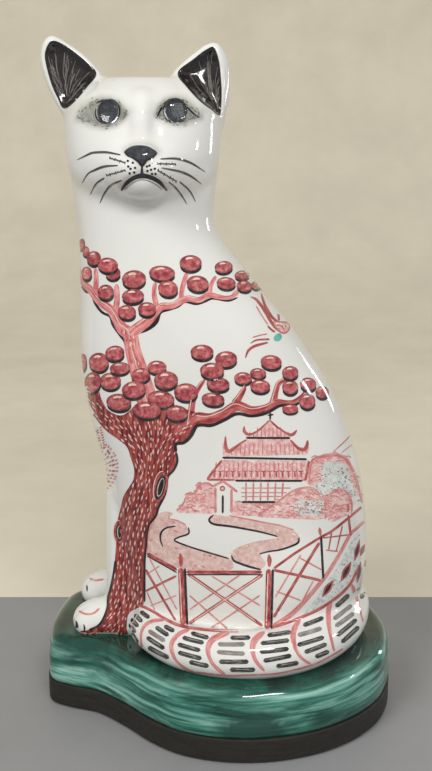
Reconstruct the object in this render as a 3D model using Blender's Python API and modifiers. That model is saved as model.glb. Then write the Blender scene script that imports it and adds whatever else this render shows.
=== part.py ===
"""Seated ceramic cat on a shaped mound and plinth. Metres, +Z up, face toward -Y, chest toward -X."""

import math

import bmesh
import bpy
import numpy as np
from mathutils import Matrix, Vector

# ---------------------------------------------------------------- dimensions
MM = 0.001
GAP = 0.3 * MM            # joint line between touching pieces
FELT_T = 1.2 * MM
FELT_INSET = 4.0 * MM
PLINTH_TOP = 16.0 * MM
PLINTH_EDGE = 0.8 * MM    # crisp eased edge
MOUND_TOP = 46.0 * MM
MOUND_ROUND = 9.0 * MM    # rounded shoulder of the mound
MOUND_WALL = 7.0 * MM
WALL = 7.0 * MM           # casting wall of the cat
BODY_VOXEL = 3.6 * MM

# plan outline of mound and plinth: small lobe under the paws, waist, large lobe
# under the haunch; clockwise control points in millimetres, smoothed by a spline
OUTLINE = [
    (-107, 6), (-104, -13), (-92, -21), (-73, -28), (-55, -43), (-38, -60),
    (-20, -72), (3, -78.5), (27, -79), (50, -74), (70, -65), (88, -51),
    (102, -32), (109.5, -6), (108, 22), (98, 48), (76, 67), (46, 76),
    (10, 78), (-25, 74), (-55, 69), (-80, 66), (-98, 54), (-106, 32),
]

# torso sections: height, left x, right x, middle y, half depth (millimetres)
TORSO = [
    (46.3, -56, 86, 9, 46), (64, -58, 89, 9, 50), (88, -60, 94.5, 8.5, 52),
    (104, -61, 94.3, 8, 52), (124, -63, 92.5, 7.5, 51.5), (146, -66.5, 89.3, 7, 50),
    (168, -72, 83.3, 6, 48), (189, -77, 75, 5, 46), (208, -79.5, 66, 4, 44.5),
    (224, -80.3, 55.2, 3, 43), (241, -80, 43.4, 2, 41), (258, -79.4, 28.5, 1, 38.5),
    (273, -79, 17.3, 0, 36), (284, -78.6, 8.6, 0, 34.5), (294, -78.4, 1.5, 0, 33.5),
    (302, -79.2, -1.6, 0, 33), (311, -80.3, -0.6, 0, 32.5), (326, -82.3, 1.0, 0, 32),
    (342, -83.8, 2.5, 0, 31), (352, -82, 1, 0, 28),
]

# head sections: height, middle x, half width, front y, back y
HEAD = [
    (313, -40, 24, -34, 30), (320, -40.3, 36, -40, 37), (328, -40.6, 41.5, -44.5, 40),
    (338, -40.6, 43, -46, 41.5), (348, -40.5, 43.4, -44, 41), (357, -40.4, 43, -41, 39),
    (366, -40.3, 40, -37, 35), (374, -40.2, 33, -29, 28), (379.5, -40, 22, -17, 17),
]

# tail centre line: x, y, z, radius
TAIL = [
    (60, 52, 62, 15), (77, 32, 61, 15), (82.5, 5, 60, 14.6), (75, -22, 59, 14.6),
    (57, -43, 58, 14.6), (33, -54.5, 57.5, 14.6), (7, -55, 57, 14.2), (-16, -48, 57, 13.6),
    (-31, -37.5, 57.5, 12.6), (-41, -27.5, 58, 11),
]
EARS = {   # rows from root to tip: low-side x, z, high-side x, z, half thickness
    "left": [(-82.8, 350, -57.6, 371.6, 13.5), (-86.3, 361, -61.8, 379.6, 12), (-90.4, 368.5, -67.2, 386, 10),
             (-94, 376, -72.5, 391.2, 8.5), (-96.6, 384.3, -79, 395.6, 7), (-96.9, 390.7, -83.8, 398.6, 6),
             (-95.8, 396, -86.6, 401, 5), (-93.6, 400.2, -89.6, 402.4, 3)],
    "right": [(3.8, 349, -26.6, 369.5, 13.5), (5.8, 359.3, -24.8, 379.8, 12), (7.6, 368.2, -21.5, 384.4, 10),
              (8.3, 375.6, -17.4, 388.4, 8.5), (8.2, 382.6, -13.2, 391.6, 7), (7.2, 388.4, -9.2, 394.4, 6),
              (5.2, 393.2, -5.8, 397, 5), (2.3, 397, -2, 398.6, 3)],
}

EYES = {"left": (-56.4, 361.3), "right": (-20.9, 361.9)}   # x and z of each eye
EYE_LIFT = math.radians(-8)      # and slightly upward
EYE_R = 6.3 * MM
EYE_FRONT = {"left": -36.2 * MM, "right": -36.2 * MM}    # rim plane of each glass
EYE_TURN = math.radians(21)      # each eye faces outward from the nose
EYE_DOME = 2.6 * MM
GLASS_T = 1.6 * MM
DISC_T = 0.8 * MM
PLUG_T = 9.0 * MM

for obj in list(bpy.data.objects):
    bpy.data.objects.remove(obj, do_unlink=True)

scene = bpy.context.scene
parts = bpy.data.collections.new("ceramic_cat")
cutters = bpy.data.collections.new("cutters")
scene.collection.children.link(parts)
scene.collection.children.link(cutters)


# ---------------------------------------------------------------- helpers
def material(name, color, rough):
    mat = bpy.data.materials.new(name)
    mat.use_nodes = True
    shader = mat.node_tree.nodes["Principled BSDF"]
    shader.inputs["Base Color"].default_value = (*color, 1.0)
    shader.inputs["Roughness"].default_value = rough
    return mat


def from_bm(bm, name, coll):
    bmesh.ops.recalc_face_normals(bm, faces=bm.faces)
    mesh = bpy.data.meshes.new(name)
    bm.to_mesh(mesh)
    bm.free()
    obj = bpy.data.objects.new(name, mesh)
    coll.objects.link(obj)
    if coll == cutters:
        obj.hide_render = True
        obj.display_type = "WIRE"
    return obj


def spline_closed(points, per):
    """Closed Catmull-Rom curve through the control points."""
    p = np.array(points, float)
    n = len(p)
    out = []
    for i in range(n):
        a, b, c, d = p[i - 1], p[i], p[(i + 1) % n], p[(i + 2) % n]
        for k in range(per):
            t = k / per
            out.append(0.5 * (2 * b + (c - a) * t + (2 * a - 5 * b + 4 * c - d) * t**2
                              + (3 * b - a - 3 * c + d) * t**3))
    return np.array(out)


def spline_open(points, per):
    p = np.array(points, float)
    p = np.vstack([2 * p[0] - p[1], p, 2 * p[-1] - p[-2]])
    out = []
    for i in range(1, len(p) - 2):
        a, b, c, d = p[i - 1], p[i], p[i + 1], p[i + 2]
        for k in range(per):
            t = k / per
            out.append(0.5 * (2 * b + (c - a) * t + (2 * a - 5 * b + 4 * c - d) * t**2
                              + (3 * b - a - 3 * c + d) * t**3))
    out.append(p[-2])
    return np.array(out)


RAW = spline_closed(OUTLINE, 3)
MID = (RAW.max(0) + RAW.min(0)) / 2      # puts the frame origin under the middle of the base
SHIFT = Vector((-MID[0] * MM, -MID[1] * MM, 0.0))


def inset(outline, d):
    """Outline moved inward by d millimetres along its own normals."""
    nxt, prv = np.roll(outline, -1, 0), np.roll(outline, 1, 0)
    tan = nxt - prv
    tan /= np.linalg.norm(tan, axis=1)[:, None]
    area = 0.5 * np.sum(outline[:, 0] * nxt[:, 1] - nxt[:, 0] * outline[:, 1])
    nrm = np.stack([-tan[:, 1], tan[:, 0]], 1) * (1 if area > 0 else -1)
    return outline + nrm * d


def rings_solid(rings, name, coll):
    """Closed loft through equal-length rings, flat caps at both ends."""
    bm = bmesh.new()
    loops = [[bm.verts.new(v) for v in ring] for ring in rings]
    n = len(loops[0])
    for a, b in zip(loops, loops[1:]):
        for i in range(n):
            bm.faces.new((a[i], a[(i + 1) % n], b[(i + 1) % n], b[i]))
    bm.faces.new(list(reversed(loops[0])))
    bm.faces.new(loops[-1])
    return from_bm(bm, name, coll)


def slab(outline, levels, name, coll):
    """Stack of (z, inset) levels following the plan outline."""
    rings = []
    for z, d in levels:
        ring = inset(outline, d)
        rings.append([Vector((x * MM, y * MM, z)) + SHIFT for x, y in ring])
    return rings_solid(rings, name, coll)


def boolean(obj, cutter, op="DIFFERENCE"):
    mod = obj.modifiers.new(cutter.name, "BOOLEAN")
    mod.operation = op
    mod.solver = "EXACT"
    mod.object = cutter
    return mod


def ellipse_ring(cx, cy, z, rx, ry, n=40, power=2.0):
    ring = []
    for i in range(n):
        a = 2 * math.pi * i / n
        c, s = math.cos(a), math.sin(a)
        e = 2.0 / power
        ring.append(Vector(((cx + rx * math.copysign(abs(c) ** e, c)) * MM,
                            (cy + ry * math.copysign(abs(s) ** e, s)) * MM, z * MM)))
    return ring


def blob(name, centre, radii, turn=0.0, tilt=0.0):
    bm = bmesh.new()
    bmesh.ops.create_uvsphere(bm, u_segments=24, v_segments=16, radius=1.0)
    mat = (Matrix.Translation(Vector(centre) * MM) @ Matrix.Rotation(turn, 4, "Z")
           @ Matrix.Rotation(tilt, 4, "Y") @ Matrix.Diagonal((*[r * MM for r in radii], 1.0)))
    bmesh.ops.transform(bm, matrix=mat, verts=bm.verts)
    return from_bm(bm, name, cutters)


def tube(name, line, coll=None):
    """Round-ended tapered tube through (x, y, z, radius) stations: a bevelled curve with a ball at each end."""
    curve = bpy.data.curves.new(name, "CURVE")
    curve.dimensions = "3D"
    curve.bevel_depth = MM
    curve.bevel_resolution = 4
    curve.use_fill_caps = True
    stations = spline_open(line, 4)
    run = curve.splines.new("POLY")
    run.points.add(len(stations) - 1)
    for point, (x, y, z, r) in zip(run.points, stations):
        point.co = (x * MM, y * MM, z * MM, 1.0)
        point.radius = r
    bm = curve_bm(curve)
    for x, y, z, r in (line[0], line[-1]):
        ball = Matrix.Translation((x * MM, y * MM, z * MM)) @ Matrix.Scale(r * MM, 4)
        bmesh.ops.create_uvsphere(bm, u_segments=16, v_segments=10, radius=1.0, matrix=ball)
    mesh = bpy.data.meshes.new(name)
    bm.to_mesh(mesh)
    bm.free()
    obj = bpy.data.objects.new(name, mesh)
    (coll or cutters).objects.link(obj)
    obj.hide_render = True
    obj.display_type = "WIRE"
    return obj


def curve_bm(curve):
    """The curve's surface as one welded mesh."""
    holder = bpy.data.objects.new("curve_holder", curve)
    cutters.objects.link(holder)
    bpy.context.view_layer.update()
    mesh = bpy.data.meshes.new_from_object(holder.evaluated_get(bpy.context.evaluated_depsgraph_get()))
    bpy.data.objects.remove(holder, do_unlink=True)
    bm = bmesh.new()
    bm.from_mesh(mesh)
    bmesh.ops.remove_doubles(bm, verts=bm.verts, dist=1e-6)
    bmesh.ops.recalc_face_normals(bm, faces=bm.faces)
    return bm


def plate(name, outline, low, high, coll):
    """Flat plate: the filled plan outline extruded by half its thickness each way."""
    curve = bpy.data.curves.new(name, "CURVE")
    curve.dimensions = "2D"
    curve.fill_mode = "BOTH"
    curve.extrude = (high - low) / 2
    run = curve.splines.new("POLY")
    run.points.add(len(outline) - 1)
    for point, (x, y) in zip(run.points, outline):
        point.co = (x * MM + SHIFT.x, y * MM + SHIFT.y, 0.0, 1.0)
    run.use_cyclic_u = True
    bm = curve_bm(curve)
    bmesh.ops.translate(bm, verts=bm.verts, vec=(0, 0, (low + high) / 2))
    return from_bm(bm, name, coll)


def hull(name, points, coll=None):
    bm = bmesh.new()
    for v in points:
        bm.verts.new(Vector(v) * MM)
    bmesh.ops.convex_hull(bm, input=bm.verts)
    loose = [v for v in bm.verts if not v.link_faces]
    bmesh.ops.delete(bm, geom=loose, context="VERTS")
    return from_bm(bm, name, coll or cutters)


def torso_rings(shrink=0.0, low=0.0, high=1e9):
    rings = []
    for z, xl, xr, cy, hy in TORSO:
        if low <= z <= high:
            rings.append(ellipse_ring((xl + xr) / 2, cy, z, (xr - xl) / 2 - shrink, hy - shrink,
                                      n=48, power=2.15))
    return rings


def head_rings(shrink=0.0):
    rings = []
    for z, cx, hw, yf, yb in HEAD:
        rings.append(ellipse_ring(cx, (yf + yb) / 2, z, hw - shrink, (yb - yf) / 2 - shrink,
                                  n=40, power=2.2))
    return rings


def ear_rings(side):
    """Flattened ellipses along the ear, root to tip."""
    rings = []
    for x0, z0, x1, z1, th in EARS[side]:
        ring = []
        for i in range(20):
            c, w = math.cos(2 * math.pi * i / 20), math.sin(2 * math.pi * i / 20)
            ring.append(Vector((((x0 + x1) + (x1 - x0) * c) / 2, -1 + th * w, ((z0 + z1) + (z1 - z0) * c) / 2)) * MM)
        rings.append(ring)
    return rings


def ear_cup(side):
    """Shallow pyramid that hollows the front of the ear."""
    if side == "left":
        return [(-91, -20, 397), (-93.5, -20, 388), (-69, -20, 381), (-85, -20, 364), (-82, -3, 381)]
    return [(-2.5, -20, 395), (2.5, -20, 383), (-18, -20, 381), (0.5, -20, 362), (-6, -3, 380)]


# ---------------------------------------------------------------- cat body
forms = [rings_solid(torso_rings(), "torso_form", cutters),
         rings_solid(head_rings(), "head_form", cutters)]
for side in ("left", "right"):
    forms.append(rings_solid(ear_rings(side), side + "_ear_form", cutters))
# haunch
forms.append(blob("haunch", (34, 8, 92), (60, 55.5, 66)))
# muzzle, chin and nose bridge
forms.append(blob("muzzle", (-38.8, -37, 333), (22, 16, 15)))
forms.append(blob("chin", (-38.5, -36, 322.5), (14, 12, 8)))
forms.append(blob("nose_bridge", (-38.8, -31, 349), (11, 17, 28)))
# forelegs and paws
for side, ly in (("near", 0.0), ("far", 42.0)):
    forms.append(tube("foreleg_" + side, [(-48, ly * 0.5 + 5, 185, 17), (-52.5, ly * 0.85 + 2, 140, 15), (-54.5, ly, 95, 13.6),
                                          (-56, ly, 62, 13.6), (-57, ly, 52, 13.6)]))
    forms.append(blob("paw_" + side, (-70, ly, 53), (20, 13.5, 12)))
    forms.append(blob("toes_" + side, (-79, ly, 51), (12, 13.5, 10.5)))
forms.append(tube("tail_form", TAIL))

bm = bmesh.new()
for form in forms:
    bm.from_mesh(form.data)
body = from_bm(bm, "cat_body", parts)
body.data.transform(Matrix.Translation(SHIFT))
mod = body.modifiers.new("fuse", "REMESH")
mod.mode = "VOXEL"
mod.voxel_size = BODY_VOXEL
mod.use_smooth_shade = True
mod = body.modifiers.new("blend", "SMOOTH")
mod.factor = 0.5
mod.iterations = 7
mod = body.modifiers.new("lighten", "DECIMATE")
mod.ratio = 0.21

# flat underside where the cat beds on the mound
bm = bmesh.new()
bmesh.ops.create_cube(bm, size=1.0, matrix=Matrix.Translation((0, 0, MOUND_TOP + GAP - 0.05)) @ Matrix.Diagonal((0.5, 0.5, 0.1, 1)))
boolean(body, from_bm(bm, "bed_cutter", cutters))

# hollow of the casting: torso and head with a wall left all round, open at the foot
bm = bmesh.new()
low = [ellipse_ring(16, 5, 36, 60, 38, n=48, power=2.15)]
rings = low + torso_rings(shrink=WALL / MM + 2.5, low=64, high=312)
for z, cx, hw, yf, yb in HEAD[1:-1]:
    rings.append(ellipse_ring(cx, (yf + yb) / 2, z, hw - 9.5, (yb - yf) / 2 - 9.5, n=48, power=2.1))
hollow = rings_solid(rings[:-1], "hollow", cutters)
hollow.data.transform(Matrix.Translation(SHIFT))
boolean(body, hollow)
body.data.materials.append(material("white_glaze", (0.86, 0.86, 0.84), 0.08))

for side in ("left", "right"):
    cup = hull(side + "_ear_cup", ear_cup(side))
    cup.data.transform(Matrix.Translation(SHIFT))
    boolean(body, cup)

# ---------------------------------------------------------------- eyes
def disc_stack(name, side, x, z, levels, coll, n=24):
    """Turned solid about the eye axis, (y, radius) levels from front to back."""
    bm = bmesh.new()
    rings = []
    for y, r in levels:
        rings.append([Vector((r * math.cos(2 * math.pi * k / n), y, r * math.sin(2 * math.pi * k / n)))
                      for k in range(n)])
    bm.free()
    obj = rings_solid(rings, name, coll)
    turn = -EYE_TURN if side == "left" else EYE_TURN
    obj.data.transform(Matrix.Translation(Vector((x * MM, EYE_FRONT[side], z * MM)) + SHIFT)
                       @ Matrix.Rotation(turn, 4, "Z") @ Matrix.Rotation(EYE_LIFT, 4, "X"))
    return obj


glass = material("eye_glass", (0.55, 0.60, 0.65), 0.02)
slate = material("eye_slate", (0.10, 0.13, 0.16), 0.3)
plaster = material("eye_plaster", (0.8, 0.78, 0.72), 0.8)
for side, (x, z) in EYES.items():
    socket = disc_stack(side + "_socket", side, x, z, [(-8 * MM, EYE_R + GAP), (22 * MM, EYE_R + GAP)], cutters)
    boolean(body, socket)
    dome = [(-EYE_DOME * math.cos(math.radians(a)), max(EYE_R * math.sin(math.radians(a)), 0.3 * MM))
            for a in (3, 20, 38, 56, 74, 90)]
    back = GLASS_T
    o = disc_stack(side + "_eye_glass", side, x, z, dome + [(back, EYE_R)], parts)
    o.data.materials.append(glass)
    o = disc_stack(side + "_eye_disc", side, x, z, [(back + GAP, EYE_R), (back + GAP + DISC_T, EYE_R)], parts)
    o.data.materials.append(slate)
    y0 = back + 2 * GAP + DISC_T
    o = disc_stack(side + "_eye_plaster", side, x, z, [(y0, EYE_R), (y0 + PLUG_T, EYE_R - 0.6 * MM)], parts)
    o.data.materials.append(plaster)

# ---------------------------------------------------------------- mound, plinth, felt
z0 = PLINTH_TOP + GAP
arc = [(MOUND_TOP - MOUND_ROUND + MOUND_ROUND * math.sin(math.radians(a)),
        1.2 + (MOUND_ROUND / MM) * (1 - math.cos(math.radians(a)))) for a in (0, 22, 45, 67, 90)]
mound = slab(RAW, [(z0, 1.6), (z0 + 3 * MM, 0.6)] + arc, "mound_base", parts)
under = slab(RAW, [(z0 - 5 * MM, MOUND_WALL / MM + 2), (MOUND_TOP - MOUND_WALL - 4 * MM, MOUND_WALL / MM + 3),
                   (MOUND_TOP - MOUND_WALL, MOUND_WALL / MM + 8)], "mound_hollow", cutters)
boolean(mound, under)
hole = rings_solid([[v + SHIFT for v in ellipse_ring(20, 4, z, 30, 18, n=32)] for z in (20, 60)], "slip_opening", cutters)
boolean(mound, hole)
mound.data.materials.append(material("green_glaze", (0.05, 0.30, 0.20), 0.15))

plinth = plate("plinth", RAW, FELT_T + GAP, PLINTH_TOP, parts)
mod = plinth.modifiers.new("eased_edges", "BEVEL")
mod.width = PLINTH_EDGE
mod.segments = 1
mod.limit_method = "ANGLE"
mod.angle_limit = math.radians(60)
plinth.data.materials.append(material("ebonised_wood", (0.02, 0.018, 0.016), 0.7))

felt = plate("base_felt", inset(RAW, FELT_INSET / MM), 0.0, FELT_T, parts)
felt.data.materials.append(material("felt", (0.03, 0.03, 0.03), 0.95))

for obj in parts.objects:
    for mod in obj.modifiers:
        mod.show_render = mod.show_viewport = True
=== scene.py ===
"""Looks of the painted ceramic cat: fine glazed body, brushed green mound, glass eyes and hand-painted decoration."""

import math

import bmesh
import bpy
import numpy as np
from mathutils import Matrix, Vector
from mathutils.bvhtree import BVHTree
from mathutils.geometry import delaunay_2d_cdt


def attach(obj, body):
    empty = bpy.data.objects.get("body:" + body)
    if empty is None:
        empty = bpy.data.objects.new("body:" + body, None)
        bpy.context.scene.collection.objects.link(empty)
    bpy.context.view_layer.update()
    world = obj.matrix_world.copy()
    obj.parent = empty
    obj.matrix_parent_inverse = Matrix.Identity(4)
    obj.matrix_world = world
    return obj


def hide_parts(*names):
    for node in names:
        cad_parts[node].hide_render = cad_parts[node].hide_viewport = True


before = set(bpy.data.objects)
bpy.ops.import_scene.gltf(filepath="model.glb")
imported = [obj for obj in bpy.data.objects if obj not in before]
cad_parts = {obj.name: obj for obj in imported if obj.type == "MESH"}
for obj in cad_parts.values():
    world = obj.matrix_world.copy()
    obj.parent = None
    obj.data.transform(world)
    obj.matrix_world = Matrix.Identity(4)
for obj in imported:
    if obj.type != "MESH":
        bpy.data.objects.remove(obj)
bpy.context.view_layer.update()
MM = 0.001
rng = np.random.default_rng(7)

# ------------------------------------------------------------------ shared forms (same tables as the CAD)
MOUND_TOP = 46.0
PLINTH_TOP = 16.0
OUTLINE = [
    (-107, 6), (-104, -13), (-92, -21), (-73, -28), (-55, -43), (-38, -60),
    (-20, -72), (3, -78.5), (27, -79), (50, -74), (70, -65), (88, -51),
    (102, -32), (109.5, -6), (108, 22), (98, 48), (76, 67), (46, 76),
    (10, 78), (-25, 74), (-55, 69), (-80, 66), (-98, 54), (-106, 32),
]
TORSO = [
    (44.0, -56, 86, 9, 46), (64, -58, 89, 9, 50), (88, -60, 94.5, 8.5, 52),
    (104, -61, 94.3, 8, 52), (124, -63, 92.5, 7.5, 51.5), (146, -66.5, 89.3, 7, 50),
    (168, -72, 83.3, 6, 48), (189, -77, 75, 5, 46), (208, -79.5, 66, 4, 44.5),
    (224, -80.3, 55.2, 3, 43), (241, -80, 43.4, 2, 41), (258, -79.4, 28.5, 1, 38.5),
    (273, -79, 17.3, 0, 36), (284, -78.6, 8.6, 0, 34.5), (294, -78.4, 1.5, 0, 33.5),
    (302, -79.2, -1.6, 0, 33), (311, -80.3, -0.6, 0, 32.5), (326, -82.3, 1.0, 0, 32),
    (342, -83.8, 2.5, 0, 31), (352, -82, 1, 0, 28),
]
HEAD = [
    (313, -40, 24, -34, 30), (320, -40.3, 36, -40, 37), (328, -40.6, 41.5, -44.5, 40),
    (338, -40.6, 43, -46, 41.5), (348, -40.5, 43.4, -44, 41), (357, -40.4, 43, -41, 39),
    (366, -40.3, 40, -37, 35), (374, -40.2, 33, -29, 28), (379.5, -40, 22, -17, 17),
]
TAIL = [
    (60, 52, 62, 15), (77, 32, 61, 15), (82.5, 5, 60, 14.6), (75, -22, 59, 14.6),
    (57, -43, 58, 14.6), (33, -54.5, 57.5, 14.6), (7, -55, 57, 14.2), (-16, -48, 57, 13.6),
    (-31, -37.5, 57.5, 12.6), (-41, -27.5, 58, 11),
]
EARS = {   # rows from root to tip: low-side x, z, high-side x, z, half thickness
    "left": [(-82.8, 350, -57.6, 371.6, 13.5), (-86.3, 361, -61.8, 379.6, 12), (-90.4, 368.5, -67.2, 386, 10),
             (-94, 376, -72.5, 391.2, 8.5), (-96.6, 384.3, -79, 395.6, 7), (-96.9, 390.7, -83.8, 398.6, 6),
             (-95.8, 396, -86.6, 401, 5), (-93.6, 400.2, -89.6, 402.4, 3)],
    "right": [(3.8, 349, -26.6, 369.5, 13.5), (5.8, 359.3, -24.8, 379.8, 12), (7.6, 368.2, -21.5, 384.4, 10),
              (8.3, 375.6, -17.4, 388.4, 8.5), (8.2, 382.6, -13.2, 391.6, 7), (7.2, 388.4, -9.2, 394.4, 6),
              (5.2, 393.2, -5.8, 397, 5), (2.3, 397, -2, 398.6, 3)],
}
EYES = {"left": (-56.4, 361.3), "right": (-20.9, 361.9)}
EYE_FRONT, EYE_TURN, EYE_LIFT, EYE_R = -36.2, math.radians(21), math.radians(-8), 6.3


def catmull(points, per, closed):
    p = np.array(points, float)
    n = len(p)
    if not closed:
        p = np.vstack([2 * p[0] - p[1], p, 2 * p[-1] - p[-2]])
        idx = range(1, n)
    else:
        idx = range(n)
    out = []
    for i in idx:
        a, b, c, d = p[i - 1], p[i], p[(i + 1) % len(p)], p[(i + 2) % len(p)]
        for k in range(per):
            t = k / per
            out.append(0.5 * (2 * b + (c - a) * t + (2 * a - 5 * b + 4 * c - d) * t**2
                              + (3 * b - a - 3 * c + d) * t**3))
    if not closed:
        out.append(p[-2])
    return np.array(out)


COARSE = catmull(OUTLINE, 3, True)
MID = (COARSE.max(0) + COARSE.min(0)) / 2
SHIFT = np.array([-MID[0] * MM, -MID[1] * MM, 0.0])
PLAN = catmull(OUTLINE, 14, True)

# ------------------------------------------------------------------ camera
FOCAL = 1050.0
PITCH = math.radians(14.8)
EYE_PT = np.array([0.0, -0.604, 0.363]) + SHIFT
RIGHT = np.array([1.0, 0.0, 0.0])
FWD = np.array([0.0, math.cos(PITCH), -math.sin(PITCH)])
UPV = np.array([0.0, math.sin(PITCH), math.cos(PITCH)])
cam_data = bpy.data.cameras.new("camera")
cam = bpy.data.objects.new("camera", cam_data)
bpy.context.scene.collection.objects.link(cam)
cam.location = EYE_PT
cam.rotation_euler = (math.pi / 2 - PITCH, 0, 0)
cam_data.sensor_fit = "VERTICAL"
cam_data.sensor_height = 36.0
cam_data.lens = FOCAL * 36.0 / 771.0
cam_data.clip_start = 0.01
bpy.context.scene.camera = cam


def to_plane(p):
    """World points to the drawing plane (432 x 771, y down)."""
    d = np.asarray(p, float) - EYE_PT
    z = d @ FWD
    return np.stack([216.0 + FOCAL * (d @ RIGHT) / z, 385.5 - FOCAL * (d @ UPV) / z], -1)


# ------------------------------------------------------------------ mesh helpers
def new_object(name, mesh):
    obj = bpy.data.objects.new(name, mesh)
    bpy.context.scene.collection.objects.link(obj)
    return obj


def mesh_from(name, verts, faces):
    mesh = bpy.data.meshes.new(name)
    mesh.from_pydata([tuple(v) for v in verts], [], [tuple(f) for f in faces])
    mesh.update()
    return mesh


def loft(rings, cap=True):
    """Vertices and faces of a closed loft through equal rings."""
    n = len(rings[0])
    verts = np.vstack(rings)
    faces = []
    for k in range(len(rings) - 1):
        a, b = k * n, (k + 1) * n
        for i in range(n):
            j = (i + 1) % n
            faces.append((a + i, a + j, b + j, b + i))
    if cap:
        faces.append(tuple(reversed(range(n))))
        faces.append(tuple(range((len(rings) - 1) * n, len(rings) * n)))
    return verts, faces


def ellipse_ring(cx, cy, z, rx, ry, n, power):
    a = np.linspace(0, 2 * np.pi, n, endpoint=False)
    e = 2.0 / power
    c, s = np.cos(a), np.sin(a)
    return np.stack([cx + rx * np.sign(c) * np.abs(c) ** e, cy + ry * np.sign(s) * np.abs(s) ** e,
                     np.full(n, float(z))], 1)


def ellipsoid(centre, radii, turn=0.0, tilt=0.0, nu=40, nv=26):
    rings = []
    for k in range(1, nv):
        t = math.pi * k / nv
        rings.append(ellipse_ring(0, 0, -math.cos(t), math.sin(t), math.sin(t), nu, 2.0))
    verts, faces = loft(rings)
    m = np.array(Matrix.Rotation(turn, 3, "Z") @ Matrix.Rotation(tilt, 3, "Y"))
    return (verts * np.array(radii)) @ m.T + np.array(centre), faces


def tube(line, per=6, n=28):
    p = catmull(line, per, False)
    pts, rad = p[:, :3], p[:, 3]
    tan = np.gradient(pts, axis=0)
    tan /= np.linalg.norm(tan, axis=1)[:, None]
    caps = ((1.0, 0.08), (0.95, 0.31), (0.8, 0.6), (0.55, 0.835), (0.25, 0.968))
    st = [(pts[0] - tan[0] * rad[0] * f, rad[0] * g, tan[0]) for f, g in caps]
    st += [(pts[i], rad[i], tan[i]) for i in range(len(pts))]
    st += [(pts[-1] + tan[-1] * rad[-1] * f, rad[-1] * g, tan[-1]) for f, g in reversed(caps)]
    a = np.linspace(0, 2 * np.pi, n, endpoint=False)
    rings = []
    for c, r, t in st:
        side = np.cross(t, (0, 0, 1.0))
        side /= np.linalg.norm(side)
        up = np.cross(side, t)
        rings.append(c + r * (np.cos(a)[:, None] * side + np.sin(a)[:, None] * up))
    return loft(rings)


def hull(points):
    bm = bmesh.new()
    for v in points:
        bm.verts.new(v)
    bmesh.ops.convex_hull(bm, input=bm.verts)
    bmesh.ops.delete(bm, geom=[v for v in bm.verts if not v.link_faces], context="VERTS")
    bm.verts.index_update()
    verts = np.array([v.co[:] for v in bm.verts])
    faces = [tuple(v.index for v in f.verts) for f in bm.faces]
    bm.free()
    return verts, faces


def interp_table(rows, per):
    return catmull(rows, per, False)


def arrays(mesh):
    co = np.empty(len(mesh.vertices) * 3)
    mesh.vertices.foreach_get("co", co)
    no = np.empty(len(mesh.vertices) * 3)
    mesh.vertices.foreach_get("normal", no)
    return co.reshape(-1, 3), no.reshape(-1, 3)


def set_co(mesh, co):
    mesh.vertices.foreach_set("co", np.ascontiguousarray(co).ravel())
    mesh.update()


def smooth_shade(mesh):
    mesh.polygons.foreach_set("use_smooth", [True] * len(mesh.polygons))


def bake_modifiers(obj):
    bpy.context.view_layer.update()
    dg = bpy.context.evaluated_depsgraph_get()
    mesh = bpy.data.meshes.new_from_object(obj.evaluated_get(dg))
    old = obj.data
    obj.modifiers.clear()
    obj.data = mesh
    bpy.data.meshes.remove(old)
    return mesh


# ------------------------------------------------------------------ fine cat body
def seg_dist(uv, line):
    """Distance of each point to a polyline, and the parameter along it."""
    best = np.full(len(uv), 1e9)
    par = np.zeros(len(uv))
    line = np.array(line, float)
    cum = np.concatenate([[0], np.cumsum(np.linalg.norm(np.diff(line, axis=0), axis=1))])
    for k in range(len(line) - 1):
        a, b = line[k], line[k + 1]
        ab = b - a
        t = np.clip(((uv - a) @ ab) / (ab @ ab), 0, 1)
        d = np.linalg.norm(uv - (a + t[:, None] * ab), axis=1)
        m = d < best
        best[m] = d[m]
        par[m] = (cum[k] + t[m] * (cum[k + 1] - cum[k])) / cum[-1]
    return best, par


def inside(uv, poly):
    x, y = uv[:, 0], uv[:, 1]
    p = np.array(poly, float)
    hit = np.zeros(len(uv), bool)
    j = len(p) - 1
    for i in range(len(p)):
        c = ((p[i, 1] > y) != (p[j, 1] > y)) & (
            x < (p[j, 0] - p[i, 0]) * (y - p[i, 1]) / (p[j, 1] - p[i, 1] + 1e-12) + p[i, 0])
        hit ^= c
        j = i
    return hit


def closed(poly):
    return list(poly) + [poly[0]]


EAR_L = [(53, 41), (48, 45), (45, 55), (47, 68), (52, 85), (58, 98), (64, 108), (74, 102), (86, 88), (96, 74),
         (86, 62), (74, 52), (62, 44)]
EAR_R = [(214, 48), (206, 50), (194, 59), (178, 73), (187, 87), (200, 101), (212, 110), (219, 115), (221, 106),
         (221.5, 92), (221, 81), (219, 62)]
LID_L = [(79, 118), (84, 110), (92, 103), (101, 100), (110, 100.5), (118, 104), (124, 111), (126, 113.5),
         (122, 119), (114, 124), (105, 126), (95, 124.5), (86, 121)]
LID_R = [(157, 115), (160, 107), (167, 101), (175, 99), (184, 101), (192, 108), (199.5, 116.5), (192, 119.5),
         (184, 122.5), (175, 122.5), (167, 120), (161, 117)]
NOSE = [(126, 150), (131, 146.5), (137, 144.5), (142, 144), (148, 145), (153, 147.5), (157, 151.5), (151, 155),
        (146, 160), (143, 163.5), (140, 160.5), (135, 155.5), (129, 153)]
MOUTH = [(122, 188), (126, 183), (132, 178), (138, 175), (143, 174), (149, 175.5), (156, 179.5), (162, 184.5), (167, 188.5)]
PHILTRUM = [(142.5, 162), (142.5, 168), (142.5, 174)]


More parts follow.
